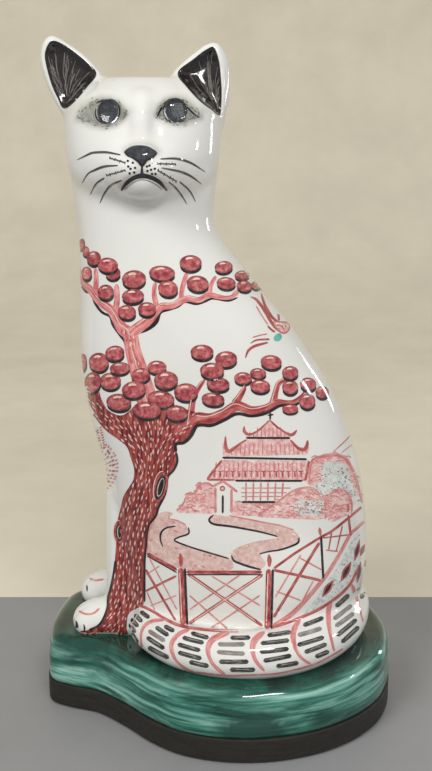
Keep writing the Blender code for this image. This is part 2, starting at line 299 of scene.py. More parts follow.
def body_mesh():
    parts = []
    rings = [ellipse_ring((xl + xr) / 2, cy, z, (xr - xl) / 2, hy, 96, 2.15)
             for z, xl, xr, cy, hy in interp_table(TORSO, 6)]
    parts.append(loft(rings))
    rings = [ellipse_ring(cx, (yf + yb) / 2, z, hw, (yb - yf) / 2, 96, 2.2)
             for z, cx, hw, yf, yb in interp_table(HEAD, 8)]
    parts.append(loft(rings))
    for side in ("left", "right"):
        rings = []
        a = np.linspace(0, 2 * np.pi, 40, endpoint=False)
        for x0, z0, x1, z1, th in interp_table(EARS[side], 5):
            mid, half = np.array([(x0 + x1) / 2, -1.0, (z0 + z1) / 2]), np.array([(x1 - x0) / 2, 0, (z1 - z0) / 2])
            rings.append(mid + np.cos(a)[:, None] * half + np.sin(a)[:, None] * np.array([0, th, 0.0]))
        parts.append(loft(rings))
    parts.append(ellipsoid((34, 8, 92), (60, 55.5, 66)))
    parts.append(ellipsoid((-38.8, -37, 333), (22, 16, 15)))
    parts.append(ellipsoid((-38.5, -36, 322.5), (14, 12, 8)))
    parts.append(ellipsoid((-38.8, -31, 347), (14, 14.6, 27)))
    for ly in (0, 42):
        parts.append(tube([(-48, ly * 0.5 + 5, 185, 17), (-52.5, ly * 0.85 + 2, 140, 15), (-54.5, ly, 95, 13.6),
                           (-56, ly, 62, 13.6), (-57, ly, 52, 13.6)]))
        parts.append(ellipsoid((-70, ly, 53), (20, 13.5, 12)))
        parts.append(ellipsoid((-79, ly, 51), (12, 13.5, 10.5)))
    parts.append(tube(TAIL))
    verts, faces, at = [], [], 0
    for v, f in parts:
        verts.append(v)
        faces += [tuple(i + at for i in q) for q in f]
        at += len(v)
    mesh = mesh_from("cat_forms", np.vstack(verts) * MM + SHIFT, faces)
    obj = new_object("cat_glaze", mesh)
    mod = obj.modifiers.new("fuse", "REMESH")
    mod.mode = "VOXEL"
    mod.voxel_size = 1.75 * MM
    mod = obj.modifiers.new("blend", "SMOOTH")
    mod.factor = 0.5
    mod.iterations = 14
    bake_modifiers(obj)
    co, _ = arrays(obj.data)
    x, y, z = ((co - SHIFT) / MM).T
    soft = np.clip((z - 84) / 22, 0, 1) * np.clip((322 - z) / 22, 0, 1)
    soft *= np.maximum(np.clip((x + 48) / 14, 0, 1), np.clip((z - 135) / 25, 0, 1))
    grp = obj.vertex_groups.new(name="soft")
    for level in range(1, 11):
        ids = np.nonzero(np.abs(np.round(soft * 10) - level) < 0.5)[0]
        if len(ids):
            grp.add(ids.tolist(), level / 10, "REPLACE")
    mod = obj.modifiers.new("soft", "SMOOTH")
    mod.factor = 0.5
    mod.iterations = 90
    mod.vertex_group = "soft"
    bake_modifiers(obj)
    obj.vertex_groups.clear()
    # the face is modelled softly: bridge and brow run into each other without a crease
    co, _ = arrays(obj.data)
    x, y, z = ((co - SHIFT) / MM).T
    soft = np.clip((z - 326) / 12, 0, 1) * np.clip((384 - z) / 10, 0, 1) * np.clip((-12 - y) / 8, 0, 1)
    jaw = np.clip((z - 296) / 10, 0, 1) * np.clip((350 - z) / 14, 0, 1) * np.clip((np.abs(x + 38.5) - 17) / 8 + np.clip((y + 24) / 8, 0, 1), 0, 1)
    soft = np.maximum(soft, jaw)
    grp = obj.vertex_groups.new(name="face")
    for level in range(1, 11):
        ids = np.nonzero(np.abs(np.round(soft * 10) - level) < 0.5)[0]
        if len(ids):
            grp.add(ids.tolist(), level / 10, "REPLACE")
    mod = obj.modifiers.new("face", "SMOOTH")
    mod.factor = 0.5
    mod.iterations = 22
    mod.vertex_group = "face"
    bake_modifiers(obj)
    obj.vertex_groups.clear()
    return obj


body = body_mesh()
print("body faces", len(body.data.polygons))


def sculpt(obj):
    mesh = obj.data
    co, no = arrays(mesh)
    uv = to_plane(co)
    front = (co[:, 1] < 0.010) & (no[:, 1] < 0.25)
    head = front & (co[:, 2] > 0.300)
    push = np.zeros(len(co))          # millimetres along the normal
    back = np.zeros(len(co))          # millimetres along +Y
    # ear cups with a rounded rim
    for poly in (EAR_L, EAR_R):
        near = head & (uv[:, 1] < 125)
        d, _ = seg_dist(uv, closed(poly))
        ins = inside(uv, poly)
        depth = np.clip(d / 12.0, 0, 1)
        depth = depth * (2 - depth) * 5.6
        back += np.where(near & ins, depth, 0.0)
        rim = np.exp(-((np.where(ins, d, -d) + 2.2) / 2.4) ** 2) * 0.7
        push += np.where(near, rim, 0.0)
    # almond eye openings: soft recess, raised lids and brow
    for lid, centre in ((LID_L, (104, 112)), (LID_R, (177, 111))):
        d, _ = seg_dist(uv, closed(lid))
        ins = inside(uv, lid)
        s = np.where(ins, d, -d)
        push += np.where(head, -1.5 / (1 + np.exp(-(s - 1.2) / 0.9)), 0.0)
        push += np.where(head, 0.75 * np.exp(-((s + 1.6) / 1.7) ** 2), 0.0)
        brow = [(x, y - 8) for x, y in lid[1:7]]
        db, _ = seg_dist(uv, brow)
        push += np.where(head, 0.8 * np.exp(-(db / 5.0) ** 2), 0.0)
    # nose bridge between two shallow planes beside the inner eye corners
    axis = 141 + (uv[:, 1] - 100) * 0.02
    run = np.clip((uv[:, 1] - 92) / 18, 0, 1) * np.clip((150 - uv[:, 1]) / 8, 0, 1)
    push += np.where(head, 1.3 * run * np.exp(-((uv[:, 0] - axis) / 9.5) ** 2), 0.0)
    for c in ((126, 124), (155, 123)):
        d = np.linalg.norm((uv - np.array(c)) / np.array((0.8, 1.8)), axis=1)
        push += np.where(head, -1.2 * np.exp(-(d / 7.5) ** 2), 0.0)
    # nose pad, philtrum, mouth line, chin and whisker pads
    d, _ = seg_dist(uv, closed(NOSE))
    s = np.where(inside(uv, NOSE), d, -d)
    push += np.where(head, 1.5 / (1 + np.exp(-s / 0.9)), 0.0)
    d, _ = seg_dist(uv, MOUTH)
    push += np.where(head, -1.3 * np.exp(-(d / 1.9) ** 2), 0.0)
    d, _ = seg_dist(uv, PHILTRUM)
    push += np.where(head, -1.3 * np.exp(-(d / 2.2) ** 2), 0.0)
    for c, r in (((127, 168), 10), ((158, 168), 10)):
        d = np.linalg.norm(uv - np.array(c), axis=1)
        push += np.where(head, 1.6 * np.exp(-(d / r) ** 2), 0.0)
    d = np.linalg.norm((uv - np.array((143, 187))) / np.array((1.5, 1.0)), axis=1)
    push += np.where(head, 1.4 * np.exp(-(d / 7.5) ** 2), 0.0)
    # toes
    base = co - SHIFT
    for py in (0, 42):
        for off in (-4.6, 0.2, 5.0):
            g = np.exp(-((base[:, 1] / MM - py - off) / 1.1) ** 2)
            zone = np.clip((-78 - base[:, 0] / MM) / 6, 0, 1) * (base[:, 2] < 0.068)
            push -= 1.1 * g * zone
    co = co + no * (push * MM)[:, None]
    co[:, 1] += back * MM
    set_co(mesh, co)
    mod = obj.modifiers.new("soften", "SMOOTH")
    mod.factor = 0.5
    mod.iterations = 1
    bake_modifiers(obj)


sculpt(body)


def turned(levels, n, side):
    rings = []
    a = np.linspace(0, 2 * np.pi, n, endpoint=False)
    for y, r in levels:
        rings.append(np.stack([r * np.cos(a), np.full(n, y), r * np.sin(a)], 1))
    verts, faces = loft(rings)
    x, z = EYES[side]
    turn = -EYE_TURN if side == "left" else EYE_TURN
    m = np.array(Matrix.Rotation(turn, 3, "Z") @ Matrix.Rotation(EYE_LIFT, 3, "X"))
    return (verts @ m.T + np.array([x, EYE_FRONT, z])) * MM + SHIFT, faces


def cut(obj, verts, faces):
    mesh = mesh_from("cutter", verts, faces)
    bm = bmesh.new()
    bm.from_mesh(mesh)
    bmesh.ops.recalc_face_normals(bm, faces=bm.faces)
    bm.to_mesh(mesh)
    bm.free()
    c = new_object("cutter", mesh)
    mod = obj.modifiers.new("cut", "BOOLEAN")
    mod.operation = "DIFFERENCE"
    mod.solver = "EXACT"
    mod.object = c
    bake_modifiers(obj)
    bpy.data.objects.remove(c, do_unlink=True)


BVH_WHOLE = None
for side in ("left", "right"):
    cut(body, *turned([(-9, EYE_R + 0.35), (13.5, EYE_R + 0.35)], 64, side))
cut(body, *[np.array([(x, y, z) for z in (0.0, 0.0455) for x, y in ((-.2, -.2), (.2, -.2), (.2, .2), (-.2, .2))]),
            [(0, 3, 2, 1), (4, 5, 6, 7), (0, 1, 5, 4), (1, 2, 6, 5), (2, 3, 7, 6), (3, 0, 4, 7)]])
smooth_shade(body.data)
body.data.set_sharp_from_angle(angle=math.radians(55))
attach(body, "root")
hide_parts("cat_body")

# ------------------------------------------------------------------ materials
def node_mat(name):
    mat = bpy.data.materials.new(name)
    mat.use_nodes = True
    nt = mat.node_tree
    return mat, nt, nt.nodes["Principled BSDF"]


def add(nt, kind, **kw):
    n = nt.nodes.new(kind)
    for k, v in kw.items():
        setattr(n, k, v)
    return n


def noise(nt, vec, scale, detail=4.0, rough=0.55, dist=0.0):
    n = add(nt, "ShaderNodeTexNoise")
    n.inputs["Scale"].default_value = scale
    n.inputs["Detail"].default_value = detail
    n.inputs["Roughness"].default_value = rough
    n.inputs["Distortion"].default_value = dist
    if vec is not None:
        nt.links.new(vec, n.inputs["Vector"])
    return n.outputs["Fac"]


def ramp(nt, fac, stops, mode="LINEAR"):
    n = add(nt, "ShaderNodeValToRGB")
    n.color_ramp.interpolation = mode
    els = n.color_ramp.elements
    while len(els) < len(stops):
        els.new(0.5)
    for e, (pos, col) in zip(els, stops):
        e.position = pos
        e.color = (*col, 1.0)
    nt.links.new(fac, n.inputs["Fac"])
    return n.outputs["Color"]


def mix(nt, fac, a, b, mode="MIX"):
    n = add(nt, "ShaderNodeMix", data_type="RGBA", blend_type=mode)
    for sock, val in ((n.inputs[0], fac), (n.inputs[6], a), (n.inputs[7], b)):
        if hasattr(val, "is_linked") or hasattr(val, "links"):
            nt.links.new(val, sock)
        elif isinstance(val, tuple):
            sock.default_value = (*val, 1.0)
        else:
            sock.default_value = val
    return n.outputs[2]


def mapped(nt, scale, source="Object", attr=None):
    if attr:
        src = add(nt, "ShaderNodeAttribute", attribute_name=attr).outputs["Vector"]
    else:
        src = add(nt, "ShaderNodeTexCoord").outputs[source]
    m = add(nt, "ShaderNodeMapping")
    m.inputs["Scale"].default_value = scale
    nt.links.new(src, m.inputs["Vector"])
    return m.outputs["Vector"]


def bump(nt, shader, height, strength, dist):
    b = add(nt, "ShaderNodeBump")
    b.inputs["Strength"].default_value = strength
    b.inputs["Distance"].default_value = dist
    nt.links.new(height, b.inputs["Height"])
    nt.links.new(b.outputs["Normal"], shader.inputs["Normal"])


def glaze_finish(shader, rough=0.07):
    shader.inputs["Roughness"].default_value = rough
    shader.inputs["IOR"].default_value = 1.52
    shader.inputs["Coat Weight"].default_value = 0.35
    shader.inputs["Coat Roughness"].default_value = 0.03


def white_glaze():
    mat, nt, sh = node_mat("white_glaze")
    glaze_finish(sh)
    vec = mapped(nt, (1, 1, 1))
    base = ramp(nt, noise(nt, vec, 14, 3), [(0.3, (0.73, 0.74, 0.71)), (0.7, (0.79, 0.785, 0.76))])
    tint = add(nt, "ShaderNodeAttribute", attribute_name="wash")
    col = mix(nt, tint.outputs["Alpha"], base, tint.outputs["Color"])
    speck = ramp(nt, noise(nt, vec, 420, 1), [(0.80, (0, 0, 0)), (0.84, (1, 1, 1))])
    col = mix(nt, speck, col, (0.45, 0.42, 0.38))
    nt.links.new(col, sh.inputs["Base Color"])
    bump(nt, sh, noise(nt, vec, 45, 2), 0.12, 0.0006)
    return mat


def green_glaze():
    mat, nt, sh = node_mat("green_glaze")
    glaze_finish(sh, 0.10)
    vec = mapped(nt, (10, 10, 84))
    streak = noise(nt, vec, 1.0, 6, 0.68, 0.8)
    vec2 = mapped(nt, (26, 26, 520))
    fine = noise(nt, vec2, 1.0, 3, 0.6)
    both = mix(nt, 0.26, streak, fine)
    col = ramp(nt, both, [(0.36, (0.002, 0.022, 0.016)), (0.44, (0.010, 0.085, 0.062)), (0.50, (0.045, 0.205, 0.157)),
                          (0.56, (0.16, 0.385, 0.315)), (0.64, (0.34, 0.575, 0.495))])
    pool = ramp(nt, noise(nt, mapped(nt, (12, 12, 36)), 1.0, 5, 0.6, 0.6), [(0.48, (0, 0, 0)), (0.60, (0.92, 0.92, 0.92))])
    col = mix(nt, pool, col, (0.004, 0.050, 0.036))
    patch = ramp(nt, noise(nt, mapped(nt, (1, 1, 1)), 30, 6, 0.68, 0.8), [(0.47, (0, 0, 0)), (0.72, (1, 1, 1))])
    # the mound's top mask darkens the glaze to a patchy dark green: partly darker glaze on the flat top, partly painted
    # shade close to the cat
    top = add(nt, "ShaderNodeAttribute", attribute_name="wash")
    dark = mix(nt, patch, (0.0010, 0.018, 0.012), (0.008, 0.125, 0.085))
    col = mix(nt, top.outputs["Fac"], col, dark)
    nt.links.new(col, sh.inputs["Base Color"])
    bump(nt, sh, both, 0.10, 0.0006)
    return mat


def plinth_mat():
    mat, nt, sh = node_mat("ebonised_wood_fine")
    vec = mapped(nt, (8, 8, 60))
    g = noise(nt, vec, 8, 6, 0.7)
    nt.links.new(ramp(nt, g, [(0.3, (0.012, 0.0105, 0.009)), (0.7, (0.026, 0.022, 0.018))]), sh.inputs["Base Color"])
    r = ramp(nt, noise(nt, mapped(nt, (1, 1, 1)), 300, 3), [(0.3, (0.5, 0.5, 0.5)), (0.7, (0.72, 0.72, 0.72))])
    nt.links.new(r, sh.inputs["Roughness"])
    bump(nt, sh, g, 0.25, 0.0003)
    return mat


def felt_mat():
    mat, nt, sh = node_mat("felt_fine")
    v = mapped(nt, (1, 1, 1))
    g = noise(nt, v, 1500, 2)
    nt.links.new(ramp(nt, g, [(0.3, (0.01, 0.01, 0.01)), (0.7, (0.04, 0.04, 0.042))]), sh.inputs["Base Color"])
    sh.inputs["Roughness"].default_value = 0.95
    sh.inputs["Sheen Weight"].default_value = 0.3
    bump(nt, sh, g, 0.5, 0.0003)
    return mat


WHITE = white_glaze()
GREEN = green_glaze()
body.data.materials.clear()
body.data.materials.append(WHITE)


def wash_attr(mesh, rgba):
    att = mesh.color_attributes.new("wash", "FLOAT_COLOR", "POINT")
    att.data.foreach_set("color", np.ascontiguousarray(rgba, dtype=np.float32).ravel())


def body_wash(obj):
    co, no = arrays(obj.data)
    uv = to_plane(co)
    n = len(co)
    rgba = np.zeros((n, 4), np.float32)
    head = (co[:, 1] < 0) & (co[:, 2] > 0.3) & (no[:, 1] < 0.2)

    def lay(mask, colour, amount):
        a = np.clip(amount, 0, 1) * mask
        keep = rgba[:, 3]
        out = a + keep * (1 - a)
        for c in range(3):
            rgba[:, c] = np.where(out > 0, (colour[c] * a + rgba[:, c] * keep * (1 - a)) / np.maximum(out, 1e-6), 0)
        rgba[:, 3] = out

    for lid, bag in ((LID_L, (100, 108)), (LID_R, (180, 107))):
        d, _ = seg_dist(uv, closed(lid))
        ins = inside(uv, lid)
        mott = 0.5 + 0.5 * np.sin(uv[:, 0] * 1.9 + 2 * np.sin(uv[:, 1] * 0.8)) * np.sin(uv[:, 1] * 2.3 + uv[:, 0] * 0.6)
        lay(head, (0.155, 0.16, 0.125), np.where(ins, 0.66 + 0.26 * mott, (0.58 + 0.36 * mott) * np.exp(-(d / 3.5) ** 2)))
        up = head & (uv[:, 1] < 113)
        lay(up, (0.42, 0.43, 0.34), 0.40 * np.exp(-(d / 8.0) ** 2))
    # grey tint around the nose pad: partly painted decoration, partly painted shade beside the nose bridge
    d, _ = seg_dist(uv, closed(NOSE))
    lay(head, (0.40, 0.40, 0.33), 0.50 * np.exp(-(d / 4.6) ** 2))
    d, _ = seg_dist(uv, MOUTH)
    lay(head, (0.45, 0.42, 0.34), 0.35 * np.exp(-(d / 4.0) ** 2))
    wash_attr(obj.data, rgba)


body_wash(body)

# ------------------------------------------------------------------ mound, plinth, felt, eyes
def inset(outline, d):
    nxt, prv = np.roll(outline, -1, 0), np.roll(outline, 1, 0)
    tan = nxt - prv
    tan /= np.linalg.norm(tan, axis=1)[:, None]
    area = 0.5 * np.sum(outline[:, 0] * nxt[:, 1] - nxt[:, 0] * outline[:, 1])
    nrm = np.stack([-tan[:, 1], tan[:, 0]], 1) * (1 if area > 0 else -1)
    return outline + nrm * d


def ring3(xy, z):
    return np.column_stack([xy, np.full(len(xy), float(z))])


def mound():
    z0, r = PLINTH_TOP + 0.3, 9.0
    levels = [(z0, 1.6), (z0 + 1.0, 0.9), (z0 + 3, 0.6), (z0 + 8, 0.5), (z0 + 14, 0.7)]
    levels += [(MOUND_TOP - r + r * math.sin(a), 1.2 + r * (1 - math.cos(a)))
               for a in np.linspace(0, math.pi / 2, 12)]
    rings = [ring3(inset(PLAN, d), z) for z, d in levels]
    crown = inset(PLAN, 1.2 + r)
    mid = np.array([18.0, 4.0])
    for s in (0.97, 0.93, 0.88, 0.82, 0.75, 0.66, 0.55, 0.42, 0.30):
        rings.append(ring3(mid + (crown - mid) * s, MOUND_TOP))
    inner = inset(PLAN, 9.0)
    for s in (0.30, 0.60, 0.85):
        rings.append(ring3(mid + (inner - mid) * s, MOUND_TOP - 7))
    rings.append(ring3(inset(PLAN, 11.5), MOUND_TOP - 9))
    rings.append(ring3(inner, MOUND_TOP - 13))
    rings.append(ring3(inner, z0))
    n = len(PLAN)
    verts, faces = loft(rings, cap=False)
    a, b = (len(rings) - 1) * n, 0
    for i in range(n):
        j = (i + 1) % n
        faces.append((a + i, a + j, b + j, b + i))
    mesh = mesh_from("mound_glaze", verts * MM + SHIFT, faces)
    obj = new_object("mound_glaze", mesh)
    co, no = arrays(mesh)
    # hand-finished clay: the sides swell and dip a little, the top is never dead flat
    x, y, z = (co / MM).T
    ang = np.arctan2(y, x)
    side = np.clip((z - 18) / 8, 0, 1) * (np.abs(no[:, 2]) < 0.98)
    swell = 0.5 * np.sin(5 * ang + 0.7) + 0.35 * np.sin(11 * ang + z * 0.11) + 0.25 * np.sin(17 * ang - z * 0.2 + 2)
    co[:, :2] += no[:, :2] * (swell * side * MM)[:, None]
    top = (z > MOUND_TOP - 6) & (no[:, 2] > 0)
    co[:, 2] += np.where(top, 0.35 * np.sin(x * 0.11 + 1) * np.sin(y * 0.13), 0) * MM
    set_co(mesh, co)
    bm = bmesh.new()
    bm.from_mesh(mesh)
    bmesh.ops.recalc_face_normals(bm, faces=bm.faces)
    bm.to_mesh(mesh)
    bm.free()
    smooth_shade(mesh)
    mesh.set_sharp_from_angle(angle=math.radians(50))
    co, no = arrays(mesh)
    # darkness mask for the glaze: upward faces take the darker green of the top, where the glaze lies thicker, and
    # faces close to the cat are darkened further as painted shade from the cat
    cat = BVHTree.FromPolygons([tuple(v.co) for v in body.data.vertices], [tuple(p.vertices) for p in body.data.polygons])
    gap = np.array([cat.find_nearest(Vector(c))[3] for c in co]) / MM
    near = np.exp(-(gap / 13.0) ** 2)
    a = np.clip((no[:, 2] - 0.50) / 0.42, 0, 1) * (0.62 + 0.38 * near)
    wash_attr(mesh, np.column_stack([a, a, a, np.ones(len(a))]))
    mesh.materials.append(GREEN)
    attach(obj, "root")
    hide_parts("mound_base")
    return obj


mound_obj = mound()


def plinth():
    lo, hi, e = 1.5, PLINTH_TOP, 0.9
    levels = [(lo, e)] + [(lo + e - e * math.cos(a), e - e * math.sin(a)) for a in (0.5, 1.0, 1.57)]
    levels += [(z, 0.0) for z in (5, 9, 13)]
    levels += [(hi - e + e * math.sin(a), e - e * math.cos(a)) for a in (0.0, 0.5, 1.0, 1.57)]
    verts, faces = loft([ring3(inset(PLAN, d), z) for z, d in levels])
    mesh = mesh_from("plinth_fine", verts * MM + SHIFT, faces)
    bm = bmesh.new()
    bm.from_mesh(mesh)
    bmesh.ops.recalc_face_normals(bm, faces=bm.faces)
    bm.to_mesh(mesh)
    bm.free()
    smooth_shade(mesh)
    mesh.set_sharp_from_angle(angle=math.radians(35))
    obj = new_object("plinth_fine", mesh)
    mesh.materials.append(plinth_mat())
    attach(obj, "root")
    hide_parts("plinth")


plinth()
felt_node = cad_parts["base_felt"]
felt_node.data.materials.clear()
felt_node.data.materials.append(felt_mat())


def eye_glass_mat():
    mat, nt, sh = node_mat("eye_glass_fine")
    sh.inputs["Base Color"].default_value = (0.93, 0.96, 1.0, 1)
    sh.inputs["Roughness"].default_value = 0.01
    sh.inputs["IOR"].default_value = 1.5
    sh.inputs["Transmission Weight"].default_value = 1.0
    return mat


def eye_slate_mat():
    mat, nt, sh = node_mat("eye_slate_fine")
    att = add(nt, "ShaderNodeAttribute", attribute_name="wash")
    v = mapped(nt, (1, 1, 1))
    m = ramp(nt, noise(nt, v, 500, 4, 0.7), [(0.3, (0.7, 0.7, 0.7)), (0.7, (1.25, 1.25, 1.25))])
    nt.links.new(mix(nt, 1.0, att.outputs["Color"], m, "MULTIPLY"), sh.inputs["Base Color"])
    sh.inputs["Roughness"].default_value = 0.35
    return mat


EYE_GLASS, EYE_SLATE = eye_glass_mat(), eye_slate_mat()
for side in ("left", "right"):
    dome = [(-2.6 * math.cos(a), max(EYE_R * math.sin(a), 0.08)) for a in np.linspace(0.02, math.pi / 2, 18)]
    v, f = turned(dome + [(0.8, EYE_R), (1.45, EYE_R - 0.05), (1.6, EYE_R - 0.2)], 56, side)
    mesh = mesh_from(side + "_eye_dome", v, f)
    bm = bmesh.new()
    bm.from_mesh(mesh)
    bmesh.ops.recalc_face_normals(bm, faces=bm.faces)
    bm.to_mesh(mesh)
    bm.free()
    smooth_shade(mesh)
    mesh.set_sharp_from_angle(angle=math.radians(40))
    mesh.materials.append(EYE_GLASS)
    o = new_object(side + "_eye_dome", mesh)
    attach(o, "root"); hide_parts(side + "_eye_glass")
    radii = [0.05, 1.2, 2.4, 3.6, 4.4, 4.9, 5.2, 5.6, 6.25]
    v, f = turned([(1.9, r) for r in radii] + [(2.7, 6.25)], 56, side)
    mesh = mesh_from(side + "_eye_iris", v, f)
    bm = bmesh.new()
    bm.from_mesh(mesh)
    bmesh.ops.recalc_face_normals(bm, faces=bm.faces)
    bm.to_mesh(mesh)
    bm.free()
    tone = {0.05: 0.58, 1.2: 0.64, 2.4: 0.84, 3.6: 1.05, 4.4: 0.62, 4.9: 0.26, 5.2: 0.12, 5.6: 0.08, 6.25: 0.06}
    rgba = []
    for k in range(len(radii) + 1):
        t = tone[radii[min(k, len(radii) - 1)]]
        rgba += [(0.027 * t, 0.031 * t, 0.042 * t, 1)] * 56
    wash_attr(mesh, np.array(rgba))
    smooth_shade(mesh)
    mesh.set_sharp_from_angle(angle=math.radians(40))
    mesh.materials.append(EYE_SLATE)
    o = new_object(side + "_eye_iris", mesh)
    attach(o, "root"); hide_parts(side + "_eye_disc")
    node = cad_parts[side + "_eye_plaster"]
    mat, nt, sh = node_mat(side + "_plaster")
    nt.links.new(ramp(nt, noise(nt, mapped(nt, (1, 1, 1)), 600, 3), [(0.3, (0.62, 0.60, 0.55)), (0.7, (0.75, 0.73, 0.68))]),
                 sh.inputs["Base Color"])
    sh.inputs["Roughness"].default_value = 0.85
    node.data.materials.clear()
    node.data.materials.append(mat)

# ------------------------------------------------------------------ painting: thin enamel laid on the glaze
def s(r, g, b):
    """0-255 display colour to linear."""
    out = []
    for c in (r, g, b):
        c /= 255.0
        out.append(c / 12.92 if c <= 0.04045 else ((c + 0.055) / 1.055) ** 2.4)
    return tuple(out)


class Skin:
    """The body surface, for rays and smooth normals."""

    def __init__(self, obj):
        mesh = obj.data
        self.co, self.no = arrays(mesh)
        mesh.calc_loop_triangles()
        t = np.empty(len(mesh.loop_triangles) * 3, np.int32)
        mesh.loop_triangles.foreach_get("vertices", t)
        self.tri = t.reshape(-1, 3)
        self.tree = BVHTree.FromPolygons([tuple(v) for v in self.co], [tuple(map(int, q)) for q in self.tri])

    def normals(self, pts, idx):
        t = self.tri[idx]
        a, b, c = self.co[t[:, 0]], self.co[t[:, 1]], self.co[t[:, 2]]
        v0, v1, v2 = b - a, c - a, pts - a
        d00, d01, d11 = (v0 * v0).sum(1), (v0 * v1).sum(1), (v1 * v1).sum(1)
        d20, d21 = (v2 * v0).sum(1), (v2 * v1).sum(1)
        den = d00 * d11 - d01 * d01 + 1e-20
        v = np.clip((d11 * d20 - d01 * d21) / den, 0, 1)
        w = np.clip((d00 * d21 - d01 * d20) / den, 0, 1)
        u = np.clip(1 - v - w, 0, 1)
        n = u[:, None] * self.no[t[:, 0]] + v[:, None] * self.no[t[:, 1]] + w[:, None] * self.no[t[:, 2]]
        return n / (np.linalg.norm(n, axis=1)[:, None] + 1e-12)


class View:
    """A drawing plane: flat units, y down, thrown on to the body along its rays."""

    def __init__(self, origin, right, fwd, up, focal=FOCAL, centre=(216.0, 385.5)):
        self.o, self.r, self.f, self.u = (np.array(v, float) for v in (origin, right, fwd, up))
        self.focal, self.c = focal, centre

    def cast(self, uv):
        d = (self.f + np.outer((uv[:, 0] - self.c[0]) / self.focal, self.r)
             + np.outer((self.c[1] - uv[:, 1]) / self.focal, self.u))
        d /= np.linalg.norm(d, axis=1)[:, None]
        n = len(uv)
        pts, idx, ok = np.zeros((n, 3)), np.zeros(n, int), np.zeros(n, bool)
        origin = Vector(self.o)
        cast = skin.tree.ray_cast
        for i in range(n):
            hit = cast(origin, Vector(d[i]))
            if hit[0] is not None:
                pts[i] = hit[0]
                idx[i] = hit[2]
                ok[i] = True
        nor = np.zeros((n, 3))
        if ok.any():
            nor[ok] = skin.normals(pts[ok], idx[ok])
        ok &= (nor * -d).sum(1) > 0.06
        return pts, nor, ok


skin = Skin(body)
FRONT = View(EYE_PT, RIGHT, FWD, UPV)
mir = np.array([1.0, -1.0, 1.0])
FAR = View((EYE_PT - SHIFT) * mir + SHIFT + np.array([0, 0.016, 0]), RIGHT, FWD * mir, UPV * mir)
SINK = 0.22 * MM
MAXEDGE = 5.5 * MM


class Layer:
    """One colour of enamel, gathered into one piece."""

    def __init__(self, name, stops, contrast=1.0, rough=0.09):
        self.name, self.stops, self.rough = name, stops, rough
        self.p, self.n, self.t, self.g, self.f = [], [], [], [], []
        self.count = 0

    def put(self, view, uv, tris, lift, tone=1.0, tex=None):
        uv = np.asarray(uv, float)
        tris = np.asarray(tris, int)
        pts, nor, ok = view.cast(uv)
        keep = ok[tris].all(1)
        e = [np.linalg.norm(pts[tris[:, a]] - pts[tris[:, b]], axis=1) for a, b in ((0, 1), (1, 2), (2, 0))]
        keep &= np.max(e, axis=0) < MAXEDGE
        tris = tris[keep]
        if not len(tris):
            return
        g = np.cross(pts[tris[:, 1]] - pts[tris[:, 0]], pts[tris[:, 2]] - pts[tris[:, 0]])
        area = np.linalg.norm(g, axis=1)
        tris, g = tris[area > 1e-12], g[area > 1e-12]
        flip = (g * nor[tris].sum(1)).sum(1) < 0
        tris[flip] = tris[flip][:, ::-1]
        used = np.unique(tris)
        remap = -np.ones(len(uv), int)
        remap[used] = np.arange(len(used))
        tris = remap[tris]
        # one fan per rim vertex, so that the slab stays manifold
        tris = self.manifold(tris, len(used))
        if not len(tris):
            return
        pts, nor, uv = pts[used], nor[used], uv[used]
        k = len(used)
        tone = np.broadcast_to(np.asarray(tone, float), (len(remap),))[used]
        tex = np.column_stack([uv * 0.4, np.zeros(k)]) if tex is None else np.asarray(tex, float)[used]
        top, low = pts + nor * (lift * MM), pts - nor * SINK
        base = self.count
        self.p.append(np.vstack([top, low]))
        self.n.append(np.vstack([nor, nor]))
        self.t.append(np.vstack([tex, tex]))
        self.g.append(np.concatenate([tone, tone]))
        edges = {}
        for a, b, c in tris:
            for q in ((a, b), (b, c), (c, a)):
                edges[q] = True
        rim = [(a, b) for a, b in edges if (b, a) not in edges]
        faces = [(base + a, base + b, base + c) for a, b, c in tris]
        faces += [(base + k + c, base + k + b, base + k + a) for a, b, c in tris]
        faces += [(base + b, base + a, base + k + a, base + k + b) for a, b in rim]
        self.f += faces
        self.count += 2 * k

    @staticmethod
    def manifold(tris, n):
        for _ in range(3):
            out, inn = np.zeros(n, int), np.zeros(n, int)
            edges = {}
            for a, b, c in tris:
                for q in ((a, b), (b, c), (c, a)):
                    edges[q] = edges.get(q, 0) + 1
            for (a, b), m in edges.items():
                if (b, a) not in edges:
                    out[a] += 1
            bad = out > 1
            if not bad.any():
                return tris
            tris = tris[~bad[tris].any(1)]
            if not len(tris):
                return tris
        return tris

    def finish(self):
        if not self.count:
            return None
        verts, nor = np.vstack(self.p), np.vstack(self.n)
        mesh = mesh_from(self.name, verts, self.f)
        smooth_shade(mesh)
        mesh.normals_split_custom_set_from_vertices([tuple(v) for v in nor])
        tex = np.vstack(self.t)
        att = mesh.attributes.new("tex", "FLOAT_VECTOR", "POINT")
        att.data.foreach_set("vector", np.ascontiguousarray(tex, dtype=np.float32).ravel())
        tone = np.concatenate(self.g)
        wash_attr(mesh, np.column_stack([tone, tone, tone, np.ones(len(tone))]))
        mat, nt, sh = node_mat(self.name)
        glaze_finish(sh, self.rough)
        src = add(nt, "ShaderNodeAttribute", attribute_name="tex").outputs["Vector"]
        f1 = noise(nt, src, 1.0, 4, 0.6, 0.3)
        col = ramp(nt, f1, self.stops)
        shade = add(nt, "ShaderNodeAttribute", attribute_name="wash").outputs["Color"]
        nt.links.new(mix(nt, 1.0, col, shade, "MULTIPLY"), sh.inputs["Base Color"])
        bump(nt, sh, noise(nt, mapped(nt, (1, 1, 1)), 45, 2), 0.12, 0.0006)
        mesh.materials.append(mat)
        obj = new_object(self.name, mesh)
        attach(obj, "root")
        return obj


